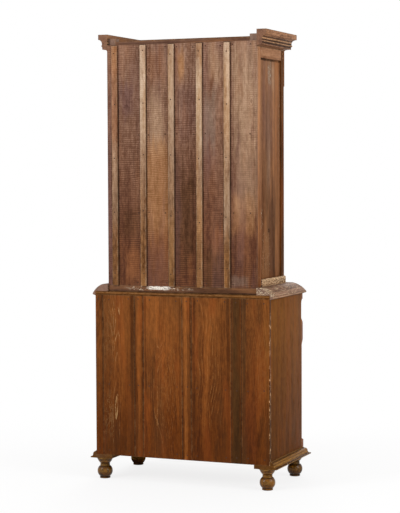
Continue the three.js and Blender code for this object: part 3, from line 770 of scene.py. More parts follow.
    def bands(self) -> tuple[Signal, Signal]:
        """Finds the ridges and grooves of a moulding.

        Returns:
            How worn the ridges are, with their painted highlight, and how much grime and painted
            shade the grooves hold.
        """
        graph, bands = self.graph, self.marks.bands
        lowest = bands[0][0]
        height = bands[-1][0] - lowest
        level = graph.noise(self.place, (30.0, 30.0, 30.0), 2.0, 0.6) * self.band_sway
        level = level + graph.split(self.place)[2] - (lowest + self.band_sway / 2)
        ramp = graph.add("ShaderNodeValToRGB", graph.math("DIVIDE", level, height, clamp=True))
        stops = ramp.color_ramp.elements
        for at, _ in bands[1:-1]:
            stops.new((at - lowest) / height)
        for stop, (_, shade) in zip(stops, bands):
            stop.color = (0.5 + shade / 2,) * 3 + (1.0,)
        sides = 1.0 - self.end_grain
        chips = graph.spread(graph.noise(self.place, (55.0, 55.0, 90.0), 4.0, 0.7), 0.3, 0.62)
        return (graph.spread(ramp.outputs[0], 0.5, 1.0) * chips * sides,
                graph.spread(ramp.outputs[0], 0.0, 0.5, 1.0, 0.0) * sides)

    def wear(self) -> None:
        """Lays the worn ridges and their painted highlight, the worn edges, the grime and painted
        shade of the grooves, the end grain and the level.
        """
        finish = self.finish
        # Ridges are lightened as wear and painted highlight, and grooves are darkened as grime and
        # painted shade.
        if self.marks.bands:
            worn, grime_and_shade = self.bands()
            self.cover(worn * self.worn_share, finish.worn)
            self.cover(grime_and_shade * self.grimy_share, GRIME.dark)
            self.relief = self.relief - grime_and_shade * self.grimy_share
        self.cover(self.edges["wear"] * finish.wear, finish.worn)
        self.cover(self.edges["seam"] * finish.seam, self.shade)
        self.cover(self.end_grain * finish.end_share, finish.end)
        self.cover(1.0, (self.marks.brightness,) * 3 + (1.0,), "MULTIPLY")

    def scatter_paint(self) -> None:
        """Lays the remnants of paint."""
        graph = self.graph
        for paint in self.marks.paints:
            least = 0.62 - paint.cover * 0.2
            flakes = graph.spread(graph.noise(self.place, paint.fineness, 4.0, 0.75),
                                  least, least + 0.05)
            flakes = flakes * self.area(paint.centre, paint.reach, 0.9 if paint.in_grain else 0.4)
            if paint.in_grain:
                flakes = flakes * graph.spread(self.figure["rings"], 0.55, 0.95)
            self.cover(flakes, paint.colour)
            self.relief = self.relief + flakes


def metal(finish: MetalFinish) -> bpy.types.Material:
    """Gives the material of a metal, which its pieces share.

    Args:
        finish: The kind of metal.

    Returns:
        The material.
    """
    name = f"{finish.slot}_{finish.name}"
    if name in bpy.data.materials:
        return bpy.data.materials[name]
    material = bpy.data.materials.new(name)
    graph = Graph(material)
    place = graph.signals(graph.add("ShaderNodeTexCoord"))["Object"]
    tarnish = graph.spread(graph.noise(place, (190.0, 190.0, 190.0), 4.0, 0.65), 0.4, 0.68)
    fine = graph.noise(place, (900.0, 900.0, 900.0))
    graph.surface(tarnish + fine, 0.4, 0.0002, {
        "Base Color": graph.blend(tarnish, colour(finish.bright), colour(finish.tarnish)),
        "Roughness": tarnish * 0.3 + finish.roughness,
        "Metallic": 1.0 - tarnish * finish.crust})
    return material


@dataclass(frozen=True)
class Cut:
    """A plane that trims a copy of a node; what lies beyond it is taken away.

    Attributes:
        point: A point of the plane, in metres.
        away: The direction that points at what is taken away.
    """

    point: Point
    away: Point


PLANED_BACK = Cut((0.0, PLANED_FACE, 0.0), (0.0, 1.0, 0.0))


@dataclass(frozen=True)
class HeadShape:
    """The shape of a fastener's head, before its face is worked.

    Attributes:
        name: The name of its model.
        sides: The faces round it.
        radius: Its radius, in metres.
        depth: The depth of its model.
        proud: How far it stands out of the timber.
        rim: The width of the rim round the part of its face that is worked.
    """

    name: str
    sides: int
    radius: float
    depth: float
    proud: float
    rim: float


class Bench:
    """Shapes meshes in edit mode, as they are shaped by hand."""

    def __init__(self, nodes: dict[str, bpy.types.Object]) -> None:
        """Keeps the CAD nodes that pieces are copied from."""
        self.nodes = nodes

    @staticmethod
    @contextmanager
    def editing(piece: bpy.types.Object) -> Iterator[None]:
        """Holds one piece in edit mode with all of it selected.

        Args:
            piece: The piece.

        Yields:
            Nothing, while the piece is in edit mode.
        """
        Bench.take(piece)
        bpy.ops.object.mode_set(mode="EDIT")
        bpy.ops.mesh.select_all(action="SELECT")
        yield
        bpy.ops.object.mode_set(mode="OBJECT")

    @staticmethod
    def take(piece: bpy.types.Object) -> None:
        """Makes one piece the only one that is selected.

        Args:
            piece: The piece.
        """
        bpy.ops.object.select_all(action="DESELECT")
        bpy.context.view_layer.objects.active = piece
        piece.select_set(True)

    def copy_of(self, node: str, name: str, cuts: Sequence[Cut] = ()) -> bpy.types.Object:
        """Copies a CAD node, merges its loose triangles and trims it.

        Args:
            node: The node's name.
            name: The new piece's name.
            cuts: The planes that trim it.

        Returns:
            The new piece.
        """
        piece = bpy.data.objects.new(name, self.nodes[node].data.copy())
        bpy.context.scene.collection.objects.link(piece)
        with self.editing(piece):
            bpy.ops.mesh.customdata_custom_splitnormals_clear()
            bpy.ops.mesh.remove_doubles(threshold=MERGE_DISTANCE)
            bpy.ops.mesh.dissolve_limited(angle_limit=FLAT_ANGLE)
            for cut in cuts:
                bpy.ops.mesh.select_all(action="SELECT")
                bpy.ops.mesh.bisect(plane_co=cut.point, plane_no=cut.away, use_fill=True,
                                    clear_outer=True)
        return piece

    @staticmethod
    def start(name: str, primitive: Callable[..., object], **settings: object) -> bpy.types.Object:
        """Adds a primitive, names it and applies its place.

        Args:
            name: The piece's name.
            primitive: The operator that adds it.
            settings: What the operator is told.

        Returns:
            The piece.
        """
        bpy.ops.object.select_all(action="DESELECT")
        primitive(**settings)
        piece = bpy.context.active_object
        piece.name = name
        bpy.ops.object.transform_apply(location=True, rotation=True, scale=True)
        return piece

    def head(self, shape: HeadShape) -> bpy.types.Object:
        """Starts the head of a fastener, which faces Z.

        Args:
            shape: The head's shape.

        Returns:
            The head.
        """
        return self.start(shape.name, bpy.ops.mesh.primitive_cylinder_add, vertices=shape.sides,
                          radius=shape.radius, depth=shape.depth,
                          location=(0.0, 0.0, shape.proud - shape.depth / 2))

    @staticmethod
    def pick(piece: bpy.types.Object, test: Callable[[Vector, Vector], bool]) -> None:
        """Selects, in edit mode, the faces that pass a test.

        Args:
            piece: The piece.
            test: Takes a face's middle and its normal.
        """
        bpy.ops.mesh.select_mode(type="FACE")
        bpy.ops.mesh.select_all(action="DESELECT")
        shape = bmesh.from_edit_mesh(piece.data)
        for face in shape.faces:
            face.select_set(test(face.calc_center_median(), face.normal))
        bmesh.update_edit_mesh(piece.data)

    @staticmethod
    def pull(x: float, y: float, z: float) -> None:
        """Extrudes, in edit mode, what is selected."""
        bpy.ops.mesh.extrude_region_move(TRANSFORM_OT_translate={"value": (x, y, z)})

    def turned(self, name: str, outline: Sequence[tuple[float, float]],
               steps: int) -> bpy.types.Object:
        """Turns a solid round the Z axis, as on a lathe.

        Args:
            name: The solid's name.
            outline: The radius and height of each point, from axis to axis.
            steps: How many faces go round it.

        Returns:
            The solid.
        """
        piece = self.start(name, bpy.ops.mesh.primitive_plane_add, size=0.01,
                           location=(outline[0][0], 0.0, outline[0][1]))
        with self.editing(piece):
            bpy.ops.mesh.merge(type="CENTER")
            for before, after in zip(outline, outline[1:]):
                self.pull(after[0] - before[0], 0.0, after[1] - before[1])
            bpy.ops.mesh.select_all(action="SELECT")
            bpy.ops.mesh.spin(steps=steps, angle=2 * math.pi, center=(0.0, 0.0, 0.0),
                              axis=(0.0, 0.0, 1.0))
            bpy.ops.mesh.select_all(action="SELECT")
            bpy.ops.mesh.remove_doubles(threshold=MERGE_DISTANCE)
            bpy.ops.mesh.normals_make_consistent(inside=False)
        bpy.ops.object.shade_smooth_by_angle(angle=SHARP_ANGLE)
        return piece

    @staticmethod
    def set_out(model: bpy.types.Object, name: str, facing: Facing,
                places: Sequence[Sequence[float]]) -> bpy.types.Object:
        """Sets copies of a model at several places and joins them to one piece.

        Args:
            model: The small shape, whose outer end faces Z.
            name: The piece's name.
            facing: The way that the outer ends face.
            places: Where they go, in metres.

        Returns:
            The piece.
        """
        chance = random.Random(name)
        bpy.ops.object.select_all(action="DESELECT")
        for place in places:
            copy = bpy.data.objects.new(name, model.data.copy())
            bpy.context.scene.collection.objects.link(copy)
            spin = Matrix.Rotation(chance.uniform(0.0, 2 * math.pi), 4, "Z")
            turn = Euler(facing.value).to_matrix().to_4x4()
            copy.data.transform(Matrix.Translation(place) @ turn @ spin)
            copy.select_set(True)
            bpy.context.view_layer.objects.active = copy
        piece = bpy.context.view_layer.objects.active
        if len(places) > 1:
            bpy.ops.object.join()
        piece.name = name
        return piece

    def soften(self, piece: bpy.types.Object, width: float, segments: int = 2) -> None:
        """Rounds the sharp edges of a piece and shades it.

        Args:
            piece: The piece.
            width: The width of the rounding, in metres.
            segments: The steps across it.
        """
        self.take(piece)
        bevel = piece.modifiers.new("soft_edges", "BEVEL")
        bevel.limit_method = "ANGLE"
        bevel.angle_limit = SHARP_ANGLE
        bevel.width = width
        bevel.segments = segments
        bpy.ops.object.modifier_apply(modifier=bevel.name)
        bpy.ops.object.shade_smooth_by_angle(angle=SMOOTH_ANGLE)


@dataclass(frozen=True)
class Member:
    """One real length of timber, and how it is cut from a CAD node and finished."""

    name: str
    node: str
    finish: TimberFinish
    grain: Grain
    cuts: tuple[Cut, ...] = ()
    soft: float = 0.0008
    marks: Marks = Marks()
    body: str = "case"


class Joiner:
    """Finishes pieces and fixes them to their bodies."""

    def __init__(self, bench: Bench) -> None:
        """Keeps the bench and builds the timber's shared effects."""
        self.bench = bench
        self.effects = TimberEffects()

    def make(self, member: Member) -> None:
        """Makes one member of timber.

        Args:
            member: The member.
        """
        piece = self.bench.copy_of(member.node, member.name, member.cuts)
        self.bench.soften(piece, member.soft)
        self.fix_timber(piece, member.body, member.finish, member.grain, member.marks)
        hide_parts(member.node)

    def fix_timber(self, piece: bpy.types.Object, body: str, finish: TimberFinish, grain: Grain,
                   marks: Marks) -> None:
        """Gives a piece its timber and fixes it to its body."""
        TimberCoat(self.effects, piece, finish, grain, marks).lay()
        self.fix(piece, body, finish.slot)

    def fix_metal(self, piece: bpy.types.Object, body: str, finish: MetalFinish) -> None:
        """Gives a piece its metal and fixes it to its body.

        Args:
            piece: The piece.
            body: The body that it rides on.
            finish: The kind of metal.
        """
        piece.data.materials.clear()
        piece.data.materials.append(metal(finish))
        self.fix(piece, body, finish.slot)

    @staticmethod
    def fix(piece: bpy.types.Object, body: str, slot: str) -> None:
        """Lets a piece ride on its body and reports it.

        Args:
            piece: The piece.
            body: The body that it rides on.
            slot: Not used.
        """
        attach(piece, body)
        LOG.info("%s: %d faces", piece.name, len(piece.data.polygons))


@dataclass(frozen=True)
class Assembly:
    """A part of the cupboard.

    Attributes:
        joiner: Makes its pieces and fixes them to their bodies.
    """

    joiner: Joiner


def stain(x: float, z: float, wide: float, tall: float, tone: Tone, strength: float = 0.8,
          softness: float = 0.7) -> Blush:
    """Gives an area of another tone on the outside of a back, by its middle and half sizes."""
    return Blush((x, 0.25, z), (wide, 0.5, tall), tone, strength, softness)


def line(x: float, wide: float, tone: Tone, strength: float, softness: float = 0.8,
         middle: float = 0.53) -> Blush:
    """Gives an upright line of another tone all the way down a back."""
    return stain(x, middle, wide, ENDLESS, tone, strength, softness)


@dataclass(frozen=True)
class UpperBack(Assembly):
    """The rough boards, cover battens and rail of the upper back.

    Attributes:
        board_levels: How light each board is.
        saw_shares: How much each board shows its saw marks.
        batten_levels: How light each batten is.
        shadow: Half the width of the painted shadow and grime along a batten, in metres.
        middle: The middle of the boards' height.
        knots: The knots of some boards.
        stains: The stains of each board.
        batten_stains: Each batten's stains: level, half height, tone and strength.
    """

    board_levels: tuple[float, ...] = (1.21, 1.34, 1.2, 1.14, 1.17)
    saw_shares: tuple[float, ...] = (0.6, 0.8, 0.85, 0.8, 0.85)
    batten_levels: tuple[float, ...] = (1.1, 1.12, 0.94, 1.18, 0.9)
    shadow: float = 0.0225
    middle: float = 1.55
    knots: ClassVar[dict[int, tuple[Knot, ...]]] = {
        1: (Knot((-0.365, SAWN_FACE, 1.86), 0.012),),
        4: (Knot((0.165, SAWN_FACE, 2.02), 0.012), Knot((0.132, SAWN_FACE, 1.79), 0.009)),
    }
    stains: ClassVar[dict[int, tuple[Blush, ...]]] = {
        1: (stain(-0.33, 1.92, 0.08, 0.3, STRAW, 0.5, 0.5),
            stain(-0.34, 1.5, 0.07, 0.25, STRAW, 0.4, 0.5),
            stain(-0.31, 1.32, 0.1, 0.12, TAN, 0.4, 0.5),
            stain(-0.31, 1.2, 0.035, 0.1, RUSSET, 0.35),
            stain(-0.31, 1.04, 0.1, 0.1, UMBER, 0.12), stain(-0.3, 1.0, 0.06, 0.035, SMOKE, 0.5)),
        2: (stain(-0.18, 2.05, 0.04, 0.12, STRAW, 0.5), stain(-0.15, 1.78, 0.05, 0.2, SMOKE, 0.7),
            stain(-0.2, 1.2, 0.05, 0.09, RUSSET, 0.4), stain(-0.17, 1.05, 0.1, 0.15, UMBER, 0.75)),
        3: (stain(0.0, 2.04, 0.03, 0.12, TAN, 0.7), stain(-0.04, 1.84, 0.09, 0.2, PLUM, 0.35),
            stain(-0.02, 1.3, 0.09, 0.35, UMBER, 0.75), stain(-0.05, 1.04, 0.02, 0.1, RUSSET, 0.5)),
        4: (stain(0.14, 2.04, 0.07, 0.12, RUSSET, 0.4), stain(0.13, 1.76, 0.06, 0.2, STRAW, 0.5),
            stain(0.12, 1.43, 0.12, 0.3, TAN, 0.58, 0.45), stain(0.1, 1.1, 0.1, 0.18, RUSSET, 0.7)),
        5: (stain(0.29, 1.88, 0.05, 0.12, PLUM, 0.7), stain(0.27, 1.28, 0.06, 0.1, UMBER, 0.45),
            stain(0.26, 1.07, 0.05, 0.13, RUSSET, 0.8), stain(0.38, 1.5, 0.02, 0.8, PLUM, 0.5)),
    }
    batten_stains: ClassVar[dict[int, tuple[tuple[float, float, Tone, float], ...]]] = {
        1: ((1.85, 0.3, PALE, 0.3), (1.35, 0.18, PALE, 0.4)),
        2: ((1.82, 0.32, PALE, 0.9), (1.13, 0.22, UMBER, 0.6)),
        3: ((1.95, 0.2, PALE, 0.25),),
        4: ((1.85, 0.3, PALE, 0.65), (1.3, 0.16, UMBER, 0.12)),
        5: ((1.46, 0.3, PALE, 0.4),),
    }

    def build(self) -> None:
        """Builds the boards, battens and rail."""
        boxes = [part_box(f"upper_back_batten_{index}") for index in range(1, 6)]
        joints = [(low.x + high.x) / 2 for low, high in boxes]
        for index, level in enumerate(self.board_levels, 1):
            # The dark lines along the battens are painted shadow of the battens as well as grime.
            seams = joints[max(0, index - 2):index] + joints[4:] * (index == 5)
            grime = [line(x, self.shadow, GRIME, 0.85, 0.28, self.middle) for x in seams]
            self.joiner.make(Member(
                f"sawn_board_{index}", f"upper_back_board_{index}",
                replace(Palette.SAWN, saw=self.saw_shares[index - 1]), Grain.UPRIGHT,
                marks=Marks(level, self.knots.get(index, ()), (*self.stains[index], *grime))))
        browner = replace(Palette.BATTEN, head_light="c08c6c", head_dark="7c4a30", cool_share=0.5)
        for index, (x, level) in enumerate(zip(joints, self.batten_levels), 1):
            stains = tuple(stain(x, z, 0.03, tall, tone, strength)
                           for z, tall, tone, strength in self.batten_stains[index])
            self.joiner.make(Member(
                f"cover_batten_{index}", f"upper_back_batten_{index}",
                browner if index == 5 else Palette.BATTEN, Grain.UPRIGHT, (PLANED_BACK,), 0.001,
                Marks(level, blushes=stains)))
        rail = replace(Palette.SIDE, head_light="866452", head_dark="54382c", cool_share=0.5)
        self.joiner.make(Member("top_back_rail", "upper_back_rail", rail, Grain.ACROSS))


@dataclass(frozen=True)
class UpperSides(Assembly):
    """The framed sides of the upper case.

    Attributes:
        post_inner: Half the width between the corner posts.
        post_back: The front face of the back posts, as Y.
        post_front: The back face of the front posts, as Y.
        strip_top: The level of the panel's foot.
        panel_head: The level of the panel's head.
        gap: The play between a cut and the joint that it follows.
        lap: How far inside its own stretch a rail is halved from the other.
        panel_x: The outer face of a panel, as X.
        post_x: The outer face of a post, as X.
        stains: Each stain's Y, Z, half sizes along them, tone, strength and softness. The thin
            grime-toned lines at the panel's head and along the russet band are painted shadow.
        scuffs: Each scuff's Y, Z, half sizes along them, colour and cover.
    """

    post_inner: float = 0.352
    post_back: float = 0.19
    post_front: float = -0.096
    strip_top: float = 1.009
    panel_head: float = 2.069
    gap: float = 0.0004
    lap: float = 0.02
    panel_x: float = 0.384
    post_x: float = 0.392
    stains: tuple[tuple, ...] = (
        (-0.058, 1.55, 0.036, ENDLESS, RUSSET, 0.8, 0.12), (0.06, 1.62, 0.04, 0.25, SMOKE, 0.3),
        (0.04, 1.2, 0.1, 0.3, UMBER, 0.7), (0.0, 1.98, 0.03, 0.09, STRAW, 0.55),
        (0.05, 1.62, 0.02, 0.12, STRAW, 0.1), (0.07, 1.82, 0.1, 0.3, Tone("8a6452", "5c3c34"), 0.6),
        # Painted shadow: the line under the top rail at the panel's head, and the thin line along
        # the russet band's back edge.
        (0.05, 2.066, 0.3, 0.01, GRIME, 0.9, 0.5),
        (-0.0225, 1.55, 0.0022, ENDLESS, GRIME, 0.75, 0.5))
    scuffs: tuple[tuple, ...] = (
        (0.045, 2.0, 0.022, 0.06, "a09684", 0.55), (0.16, 1.3, 0.02, 0.06, "a08c74", 0.35),
        (0.06, 1.24, 0.012, 0.012, "2c1c14", 0.9), (0.1, 1.12, 0.08, 0.13, "98795c", 0.2))

    def build(self) -> None:
        """Builds both sides."""
        for side in Side:
            self.frame(side)
            x = side.value * self.panel_x
            blushes = tuple(Blush((x, y, z), (0.1, deep, tall), *rest)
                            for y, z, deep, tall, *rest in self.stains)
            paints = tuple(Paint((x, y, z), (0.1, deep, tall), *rest, (120.0, 170.0, 60.0))
                           for y, z, deep, tall, *rest in self.scuffs)
            self.joiner.make(Member(
                f"side_panel_{side.word}", f"upper_side_panel_{side.word}",
                replace(Palette.SIDE, cool="60462e", wear=0.1, cool_share=0.3), Grain.UPRIGHT,
                marks=Marks(0.84, blushes=blushes, paints=paints)))

    def frame(self, side: Side) -> None:
        """Builds the posts, rails and bearers of one side.

        Args:
            side: The side.
        """
        back, front = self.post_back - self.gap, self.post_front + self.gap
        middle = (self.post_back + self.post_front) / 2
        inner = (side.value * (self.post_inner - self.gap / 2), 0.0, 0.0)
        within = Cut(inner, (-side.value, 0.0, 0.0))
        post_x = side.value * self.post_x
        rail = (Cut((0.0, back, 0.0), (0.0, 1.0, 0.0)), Cut((0.0, front, 0.0), (0.0, -1.0, 0.0)))
        weathered = Palette.SIDE
        if side is Side.RIGHT:
            weathered = replace(weathered, head_light="86695e", head_dark="5c443c",
                                warm_share=0.05, cool_share=0.4)
        bare_top = Blush((side.value * 0.37, 0.21, 2.165), (0.1, 0.1, 0.035),
                         Tone("9c8474", "6e5448"), 0.9, 0.3)
        shaded = Blush((post_x, -0.1125, 1.55), (0.003, 0.0215, ENDLESS),
                       Tone("583822", "382010"), 1.0, 0.2)
        paler_head = Blush((post_x, -0.1125, 1.98), (0.003, 0.0215, 0.34),
                           Tone("805638", "5c3c24"), 0.6, 0.5)
        for name, finish, grain, cuts, marks in (
            ("back_post", weathered, Grain.UPRIGHT,
             (Cut((0.0, back, 0.0), (0.0, -1.0, 0.0)), within), Marks(1.1, blushes=(bare_top,))),
            ("front_post",
             replace(Palette.FRONT, sheen=0.02, coat=0.0, roughness=0.75, wear=0.1),
             Grain.UPRIGHT, (Cut((0.0, front, 0.0), (0.0, 1.0, 0.0)), within),
             Marks(0.9, blushes=(shaded, paler_head))),
            ("side_top_rail", replace(Palette.SIDE, warm_share=0.05, cool_share=0.6), Grain.DEEP,
             (*rail, Cut((0.0, middle, self.panel_head - self.lap), (0.0, 0.0, -1.0)), within),
             Marks()),
            ("side_foot_rail", Palette.SIDE, Grain.DEEP,
             (*rail, Cut((0.0, middle, self.strip_top + self.lap), (0.0, 0.0, 1.0)), within),
             Marks()),
            ("shelf_bearers", Palette.INSIDE, Grain.DEEP,
             (Cut(inner, (side.value, 0.0, 0.0)),), Marks()),
        ):
            self.joiner.make(Member(f"{name}_{side.word}", f"upper_side_frame_{side.word}",
                                    finish, grain, cuts, marks=marks))


@dataclass(frozen=True)
class MitredMoulding:
    """A moulding of three lengths, mitred at the two front corners.

    Attributes:
        name: The moulding's name.
        node: Its CAD node.
        finish: Its timber.
        inner: Half the width and the front, as Y, of what it wraps.
        marks: What time has left on it.
    """

    name: str
    node: str
    finish: TimberFinish
    inner: tuple[float, float]
    marks: Marks

    def members(self) -> Iterator[Member]:
        """Gives the three lengths.

        Yields:
            The left length, the right length and the front length.
        """
        low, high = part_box(self.node)
        outer = high.x
        reach = outer - self.inner[0]
        depth = self.inner[1] - low.y
        front_cuts = []
        for side in Side:
            corner = (side.value * outer, low.y, 0.0)
            toward_side = Vector((side.value * depth, reach, 0.0)).normalized()
            front_cuts.append(Cut(corner, tuple(toward_side)))
            yield Member(f"{self.name}_{side.word}", self.node, self.finish, Grain.DEEP,
                         (Cut(corner, tuple(-toward_side)),), marks=self.marks)
        yield Member(f"{self.name}_front", self.node, self.finish, Grain.ACROSS,
                     tuple(front_cuts), marks=self.marks)


@dataclass(frozen=True)
class Mouldings(Assembly):
    """The cornice, the waist moulding, the strip above it and the base moulding.

    Attributes:
        cornice_bands: The levels of the cornice's profile, from its foot, with wear and painted
            highlight on the ridges and grime and painted shade in the grooves and at the foot.
        waist_bands: Those of the waist moulding.
        base_bands: Those of the base moulding.
        strip_bands: Those of the strip.
    """

    cornice_bands: Bands = (
        (2.118, -1.0), (2.124, -0.3), (2.131, 0.2), (2.1345, -1.0), (2.14, -1.0), (2.1425, 0.7),
        (2.147, 0.7), (2.149, -1.0), (2.1545, -1.0), (2.157, 0.8), (2.161, 0.8), (2.163, -1.0),
        (2.167, -0.8), (2.171, 0.0), (2.194, 0.1), (2.2, -0.4))
    waist_bands: Bands = (
        (0.916, -1.0), (0.921, -0.4), (0.924, 0.7), (0.928, 0.3), (0.931, -0.6), (0.935, 0.5),
        (0.941, -0.2), (0.947, 0.6), (0.952, -0.7), (0.957, 0.4), (0.963, -0.3), (0.968, 0.5),
        (0.973, -0.2))
    base_bands: Bands = (
        (0.104, -0.5), (0.107, 0.4), (0.110, -0.9), (0.114, 0.2), (0.122, 0.6), (0.127, -0.4),
        (0.132, 0.6), (0.1375, -0.9), (0.14, 0.4))
    strip_bands: Bands = (
        (0.968, -0.9), (0.976, 0.3), (0.982, -0.3), (0.988, 0.6), (0.995, -0.2), (1.001, 0.7),
        (1.006, 0.9), (1.009, 0.5))

    def build(self) -> None:
        """Builds each moulding's lengths."""
        scraped = Paint((-0.4, 0.0, 0.995), (0.1, 0.5, 0.03), "d9b48c", 0.62)
        # The pale marks on the waist moulding's slope are wear and painted highlight.
        rubbed_and_lit = (
            Paint((-0.45, 0.05, 0.95), (0.08, 0.26, 0.03), "c4a684", 0.36, (110.0, 22.0, 230.0)),
            Paint((-0.45, 0.25, 0.955), (0.1, 0.05, 0.03), "dcc6a6", 0.45, (90.0, 90.0, 160.0)))
        for run in (
            MitredMoulding("cornice", "cornice",
                           replace(Palette.MOULDING, head_light="a67858", worn="be966c",
                                   end="7e5c4c", cool_share=0.2, mottle=0.7),
                           (0.392, -0.145), Marks(0.93, bands=self.cornice_bands)),
            MitredMoulding("waist", "waist_moulding",
                           replace(Palette.MOULDING, foot_level=0.5, head_level=0.96,
                                   worn="b89a74", warm_share=0.15),
                           (0.3923, -0.1363),
                           Marks(0.9, bands=self.waist_bands, paints=rubbed_and_lit)),
            MitredMoulding("base", "base_moulding", Palette.BASE, (0.46, -0.222),
                           Marks(0.9, bands=self.base_bands)),
            MitredMoulding("strip", "upper_base_strip",
                           replace(Palette.MOULDING, foot_level=0.8, worn="d8b890"),
                           (0.392, -0.136),
                           Marks(0.95, bands=self.strip_bands, paints=(scraped,))),
        ):
            for member in run.members():
                self.joiner.make(member)


@dataclass(frozen=True)
class UpperCase(Assembly):
    """The boards of the upper case that aren't in its back or sides.

    Attributes:
        edge_level: The level of the grime along the edge of its floor.
    """

    edge_level: float = 0.94

    def build(self) -> None:
        """Builds the top, bottom, shelves and frieze."""
        flakes = (Paint((0.117, 0.24, 0.959), (0.07, 0.1, 0.011), cover=0.95),
                  Paint((0.11, 0.24, 0.957), (0.2, 0.1, 0.012), "c8b49c", 0.35))
        grimy_edge = Blush((0.0, 0.25, self.edge_level), (1.0, 0.02, 0.005), GRIME, 0.8)
        greyer = replace(Palette.SIDE, foot_light="80583e", foot_dark="4e3222", cool_share=0.5)
        for name, node, finish, marks in (
            ("upper_floor", "upper_bottom_board", greyer,
             Marks(0.9, blushes=(grimy_edge,), paints=flakes)),
            ("dust_top", "upper_top_board", Palette.INSIDE, Marks()),
            ("shelf_low", "upper_shelf_lower", Palette.INSIDE, Marks()),
            ("shelf_high", "upper_shelf_upper", Palette.INSIDE, Marks()),
            ("frieze", "upper_frieze", replace(Palette.FRONT, roughness=0.75, sheen=0.03), Marks()),
        ):
            self.joiner.make(Member(name, node, finish, Grain.ACROSS, marks=marks))


@dataclass(frozen=True)
class LowerCase(Assembly):
    """The lower case: its back boards, sides, boards, front frame and pilasters.

    Attributes:
        board_levels: How light each board of the back is.
        seam: Half the width of the grime along a joint, in metres.
        ledge_bands: The levels of the top board's edge, with wear and painted highlight, and with
            grime and painted shade.
        piths: Where some boards' piths lie, for their figure.
        stains: The stains of each board.
        fine: The fineness of flecks in the grain.
        flecks: The pale worn flecks of some boards, most of them in the grain; the pale line on the
            first board's corner is wear and painted highlight.
    """

    board_levels: tuple[float, ...] = (0.93, 0.62, 0.98, 1.04, 1.12, 0.94, 0.88, 0.86)
    seam: float = 0.0022
    ledge_bands: Bands = ((0.92, -1.0), (0.924, -0.5), (0.928, 0.4), (0.932, 0.7),
                          (0.935, -0.2), (0.938, -1.0))
    piths: ClassVar[dict[int, tuple[float, float]]] = {1: (0.14, 0.08), 7: (-0.015, 0.045)}
    stains: ClassVar[dict[int, tuple[Blush, ...]]] = {
        1: (line(-0.446, 0.005, DEEP, 0.4, 0.6),
            stain(-0.43, 0.62, 0.03, 0.3, Tone("98622c", "6a3c16"), 0.35, 0.6),
            line(-0.328, 0.014, Tone("5c3a1c", "382210"), 0.8),
            stain(-0.36, 0.3, 0.05, 0.2, Tone("743818", "44200c"), 0.5, 0.6)),
        2: (line(-0.289, 0.026, Tone("664420", "422a12"), 0.8, 0.5),),
        3: (line(-0.246, 0.012, DEEP, 0.8), line(-0.07, 0.008, DEEP, 0.7),
            stain(-0.13, 0.6, 0.03, 0.4, AMBER, 0.5, 0.6)),
        4: (line(-0.024, 0.012, Tone("ac682e", "743f16"), 0.7, 0.6),
            line(-0.049, 0.006, DEEP, 0.9)),
        5: (line(0.006, 0.007, DEEP, 0.7), stain(0.1, 0.6, 0.05, 0.34, AMBER, 0.5, 0.6),
            line(0.19, 0.008, DEEP, 0.7)),
        6: (line(0.224, 0.012, AMBER, 0.6, 0.6), line(0.205, 0.005, DEEP, 0.8),
            line(0.244, 0.005, DEEP, 0.8)),
        7: (stain(0.33, 0.6, 0.04, 0.3, AMBER, 0.4, 0.6), line(0.262, 0.012, DEEP, 0.8)),
        8: (line(0.425, 0.005, DEEP, 0.6),),
    }
    fine: ClassVar[Point] = (120.0, 120.0, 30.0)
    flecks: ClassVar[dict[int, tuple[Paint, ...]]] = {
        # The pale line along the corner is a worn arris with painted highlight.
        1: (Paint((-0.4585, 0.25, 0.5), (0.003, 0.5, 0.5), "c0966c", 0.35, (90.0, 90.0, 36.0)),
            Paint((-0.42, 0.25, 0.62), (0.05, 0.5, 0.4), "906034", 0.6, fine, True)),
        3: (Paint((-0.15, 0.25, 0.62), (0.08, 0.5, 0.42), "966434", 0.7, fine, True),),
        5: (Paint((0.09, 0.25, 0.48), (0.09, 0.5, 0.42), "98683a", 0.7, fine, True),),
        7: (Paint((0.37, 0.25, 0.74), (0.07, 0.5, 0.22), "ac8454", 0.85, fine, True),
            Paint((0.37, 0.25, 0.33), (0.05, 0.5, 0.17), "b08a5a", 0.85, fine, True)),
    }

    def build(self) -> None:
        """Builds the lower case."""
        for index, level in enumerate(self.board_levels, 1):
            node = f"lower_back_board_{index}"
            grime = [line(end.x, self.seam, GRIME, 0.8, 0.5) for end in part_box(node)]
            marks = Marks(level, blushes=(*self.stains[index], *grime),
                          paints=self.flecks.get(index, ()), pith=self.piths.get(index))
            self.joiner.make(Member(f"planed_board_{index}", node, Palette.LOWER_BACK,
                                    Grain.UPRIGHT, (PLANED_BACK,), marks=marks))
        for side in Side:
            self.joiner.make(Member(f"side_plank_{side.word}", f"lower_side_{side.word}",
                                    Palette.LOWER_SIDE, Grain.UPRIGHT))
            self.joiner.make(Member(f"corner_pilaster_{side.word}", f"pilaster_{side.word}",
                                    Palette.FRONT, Grain.UPRIGHT, soft=0.0015))
        for name, node, finish, marks in (
            ("lower_floor", "lower_bottom_board", Palette.INSIDE, Marks()),
            ("ledge_board", "lower_top_board", Palette.LOWER_SIDE,
             Marks(0.85, bands=self.ledge_bands)),
            ("housed_shelf", "lower_shelf", Palette.INSIDE, Marks()),
            ("front_frame", "lower_front_frame", Palette.FRONT, Marks()),
        ):
            self.joiner.make(Member(name, node, finish, Grain.ACROSS, marks=marks))


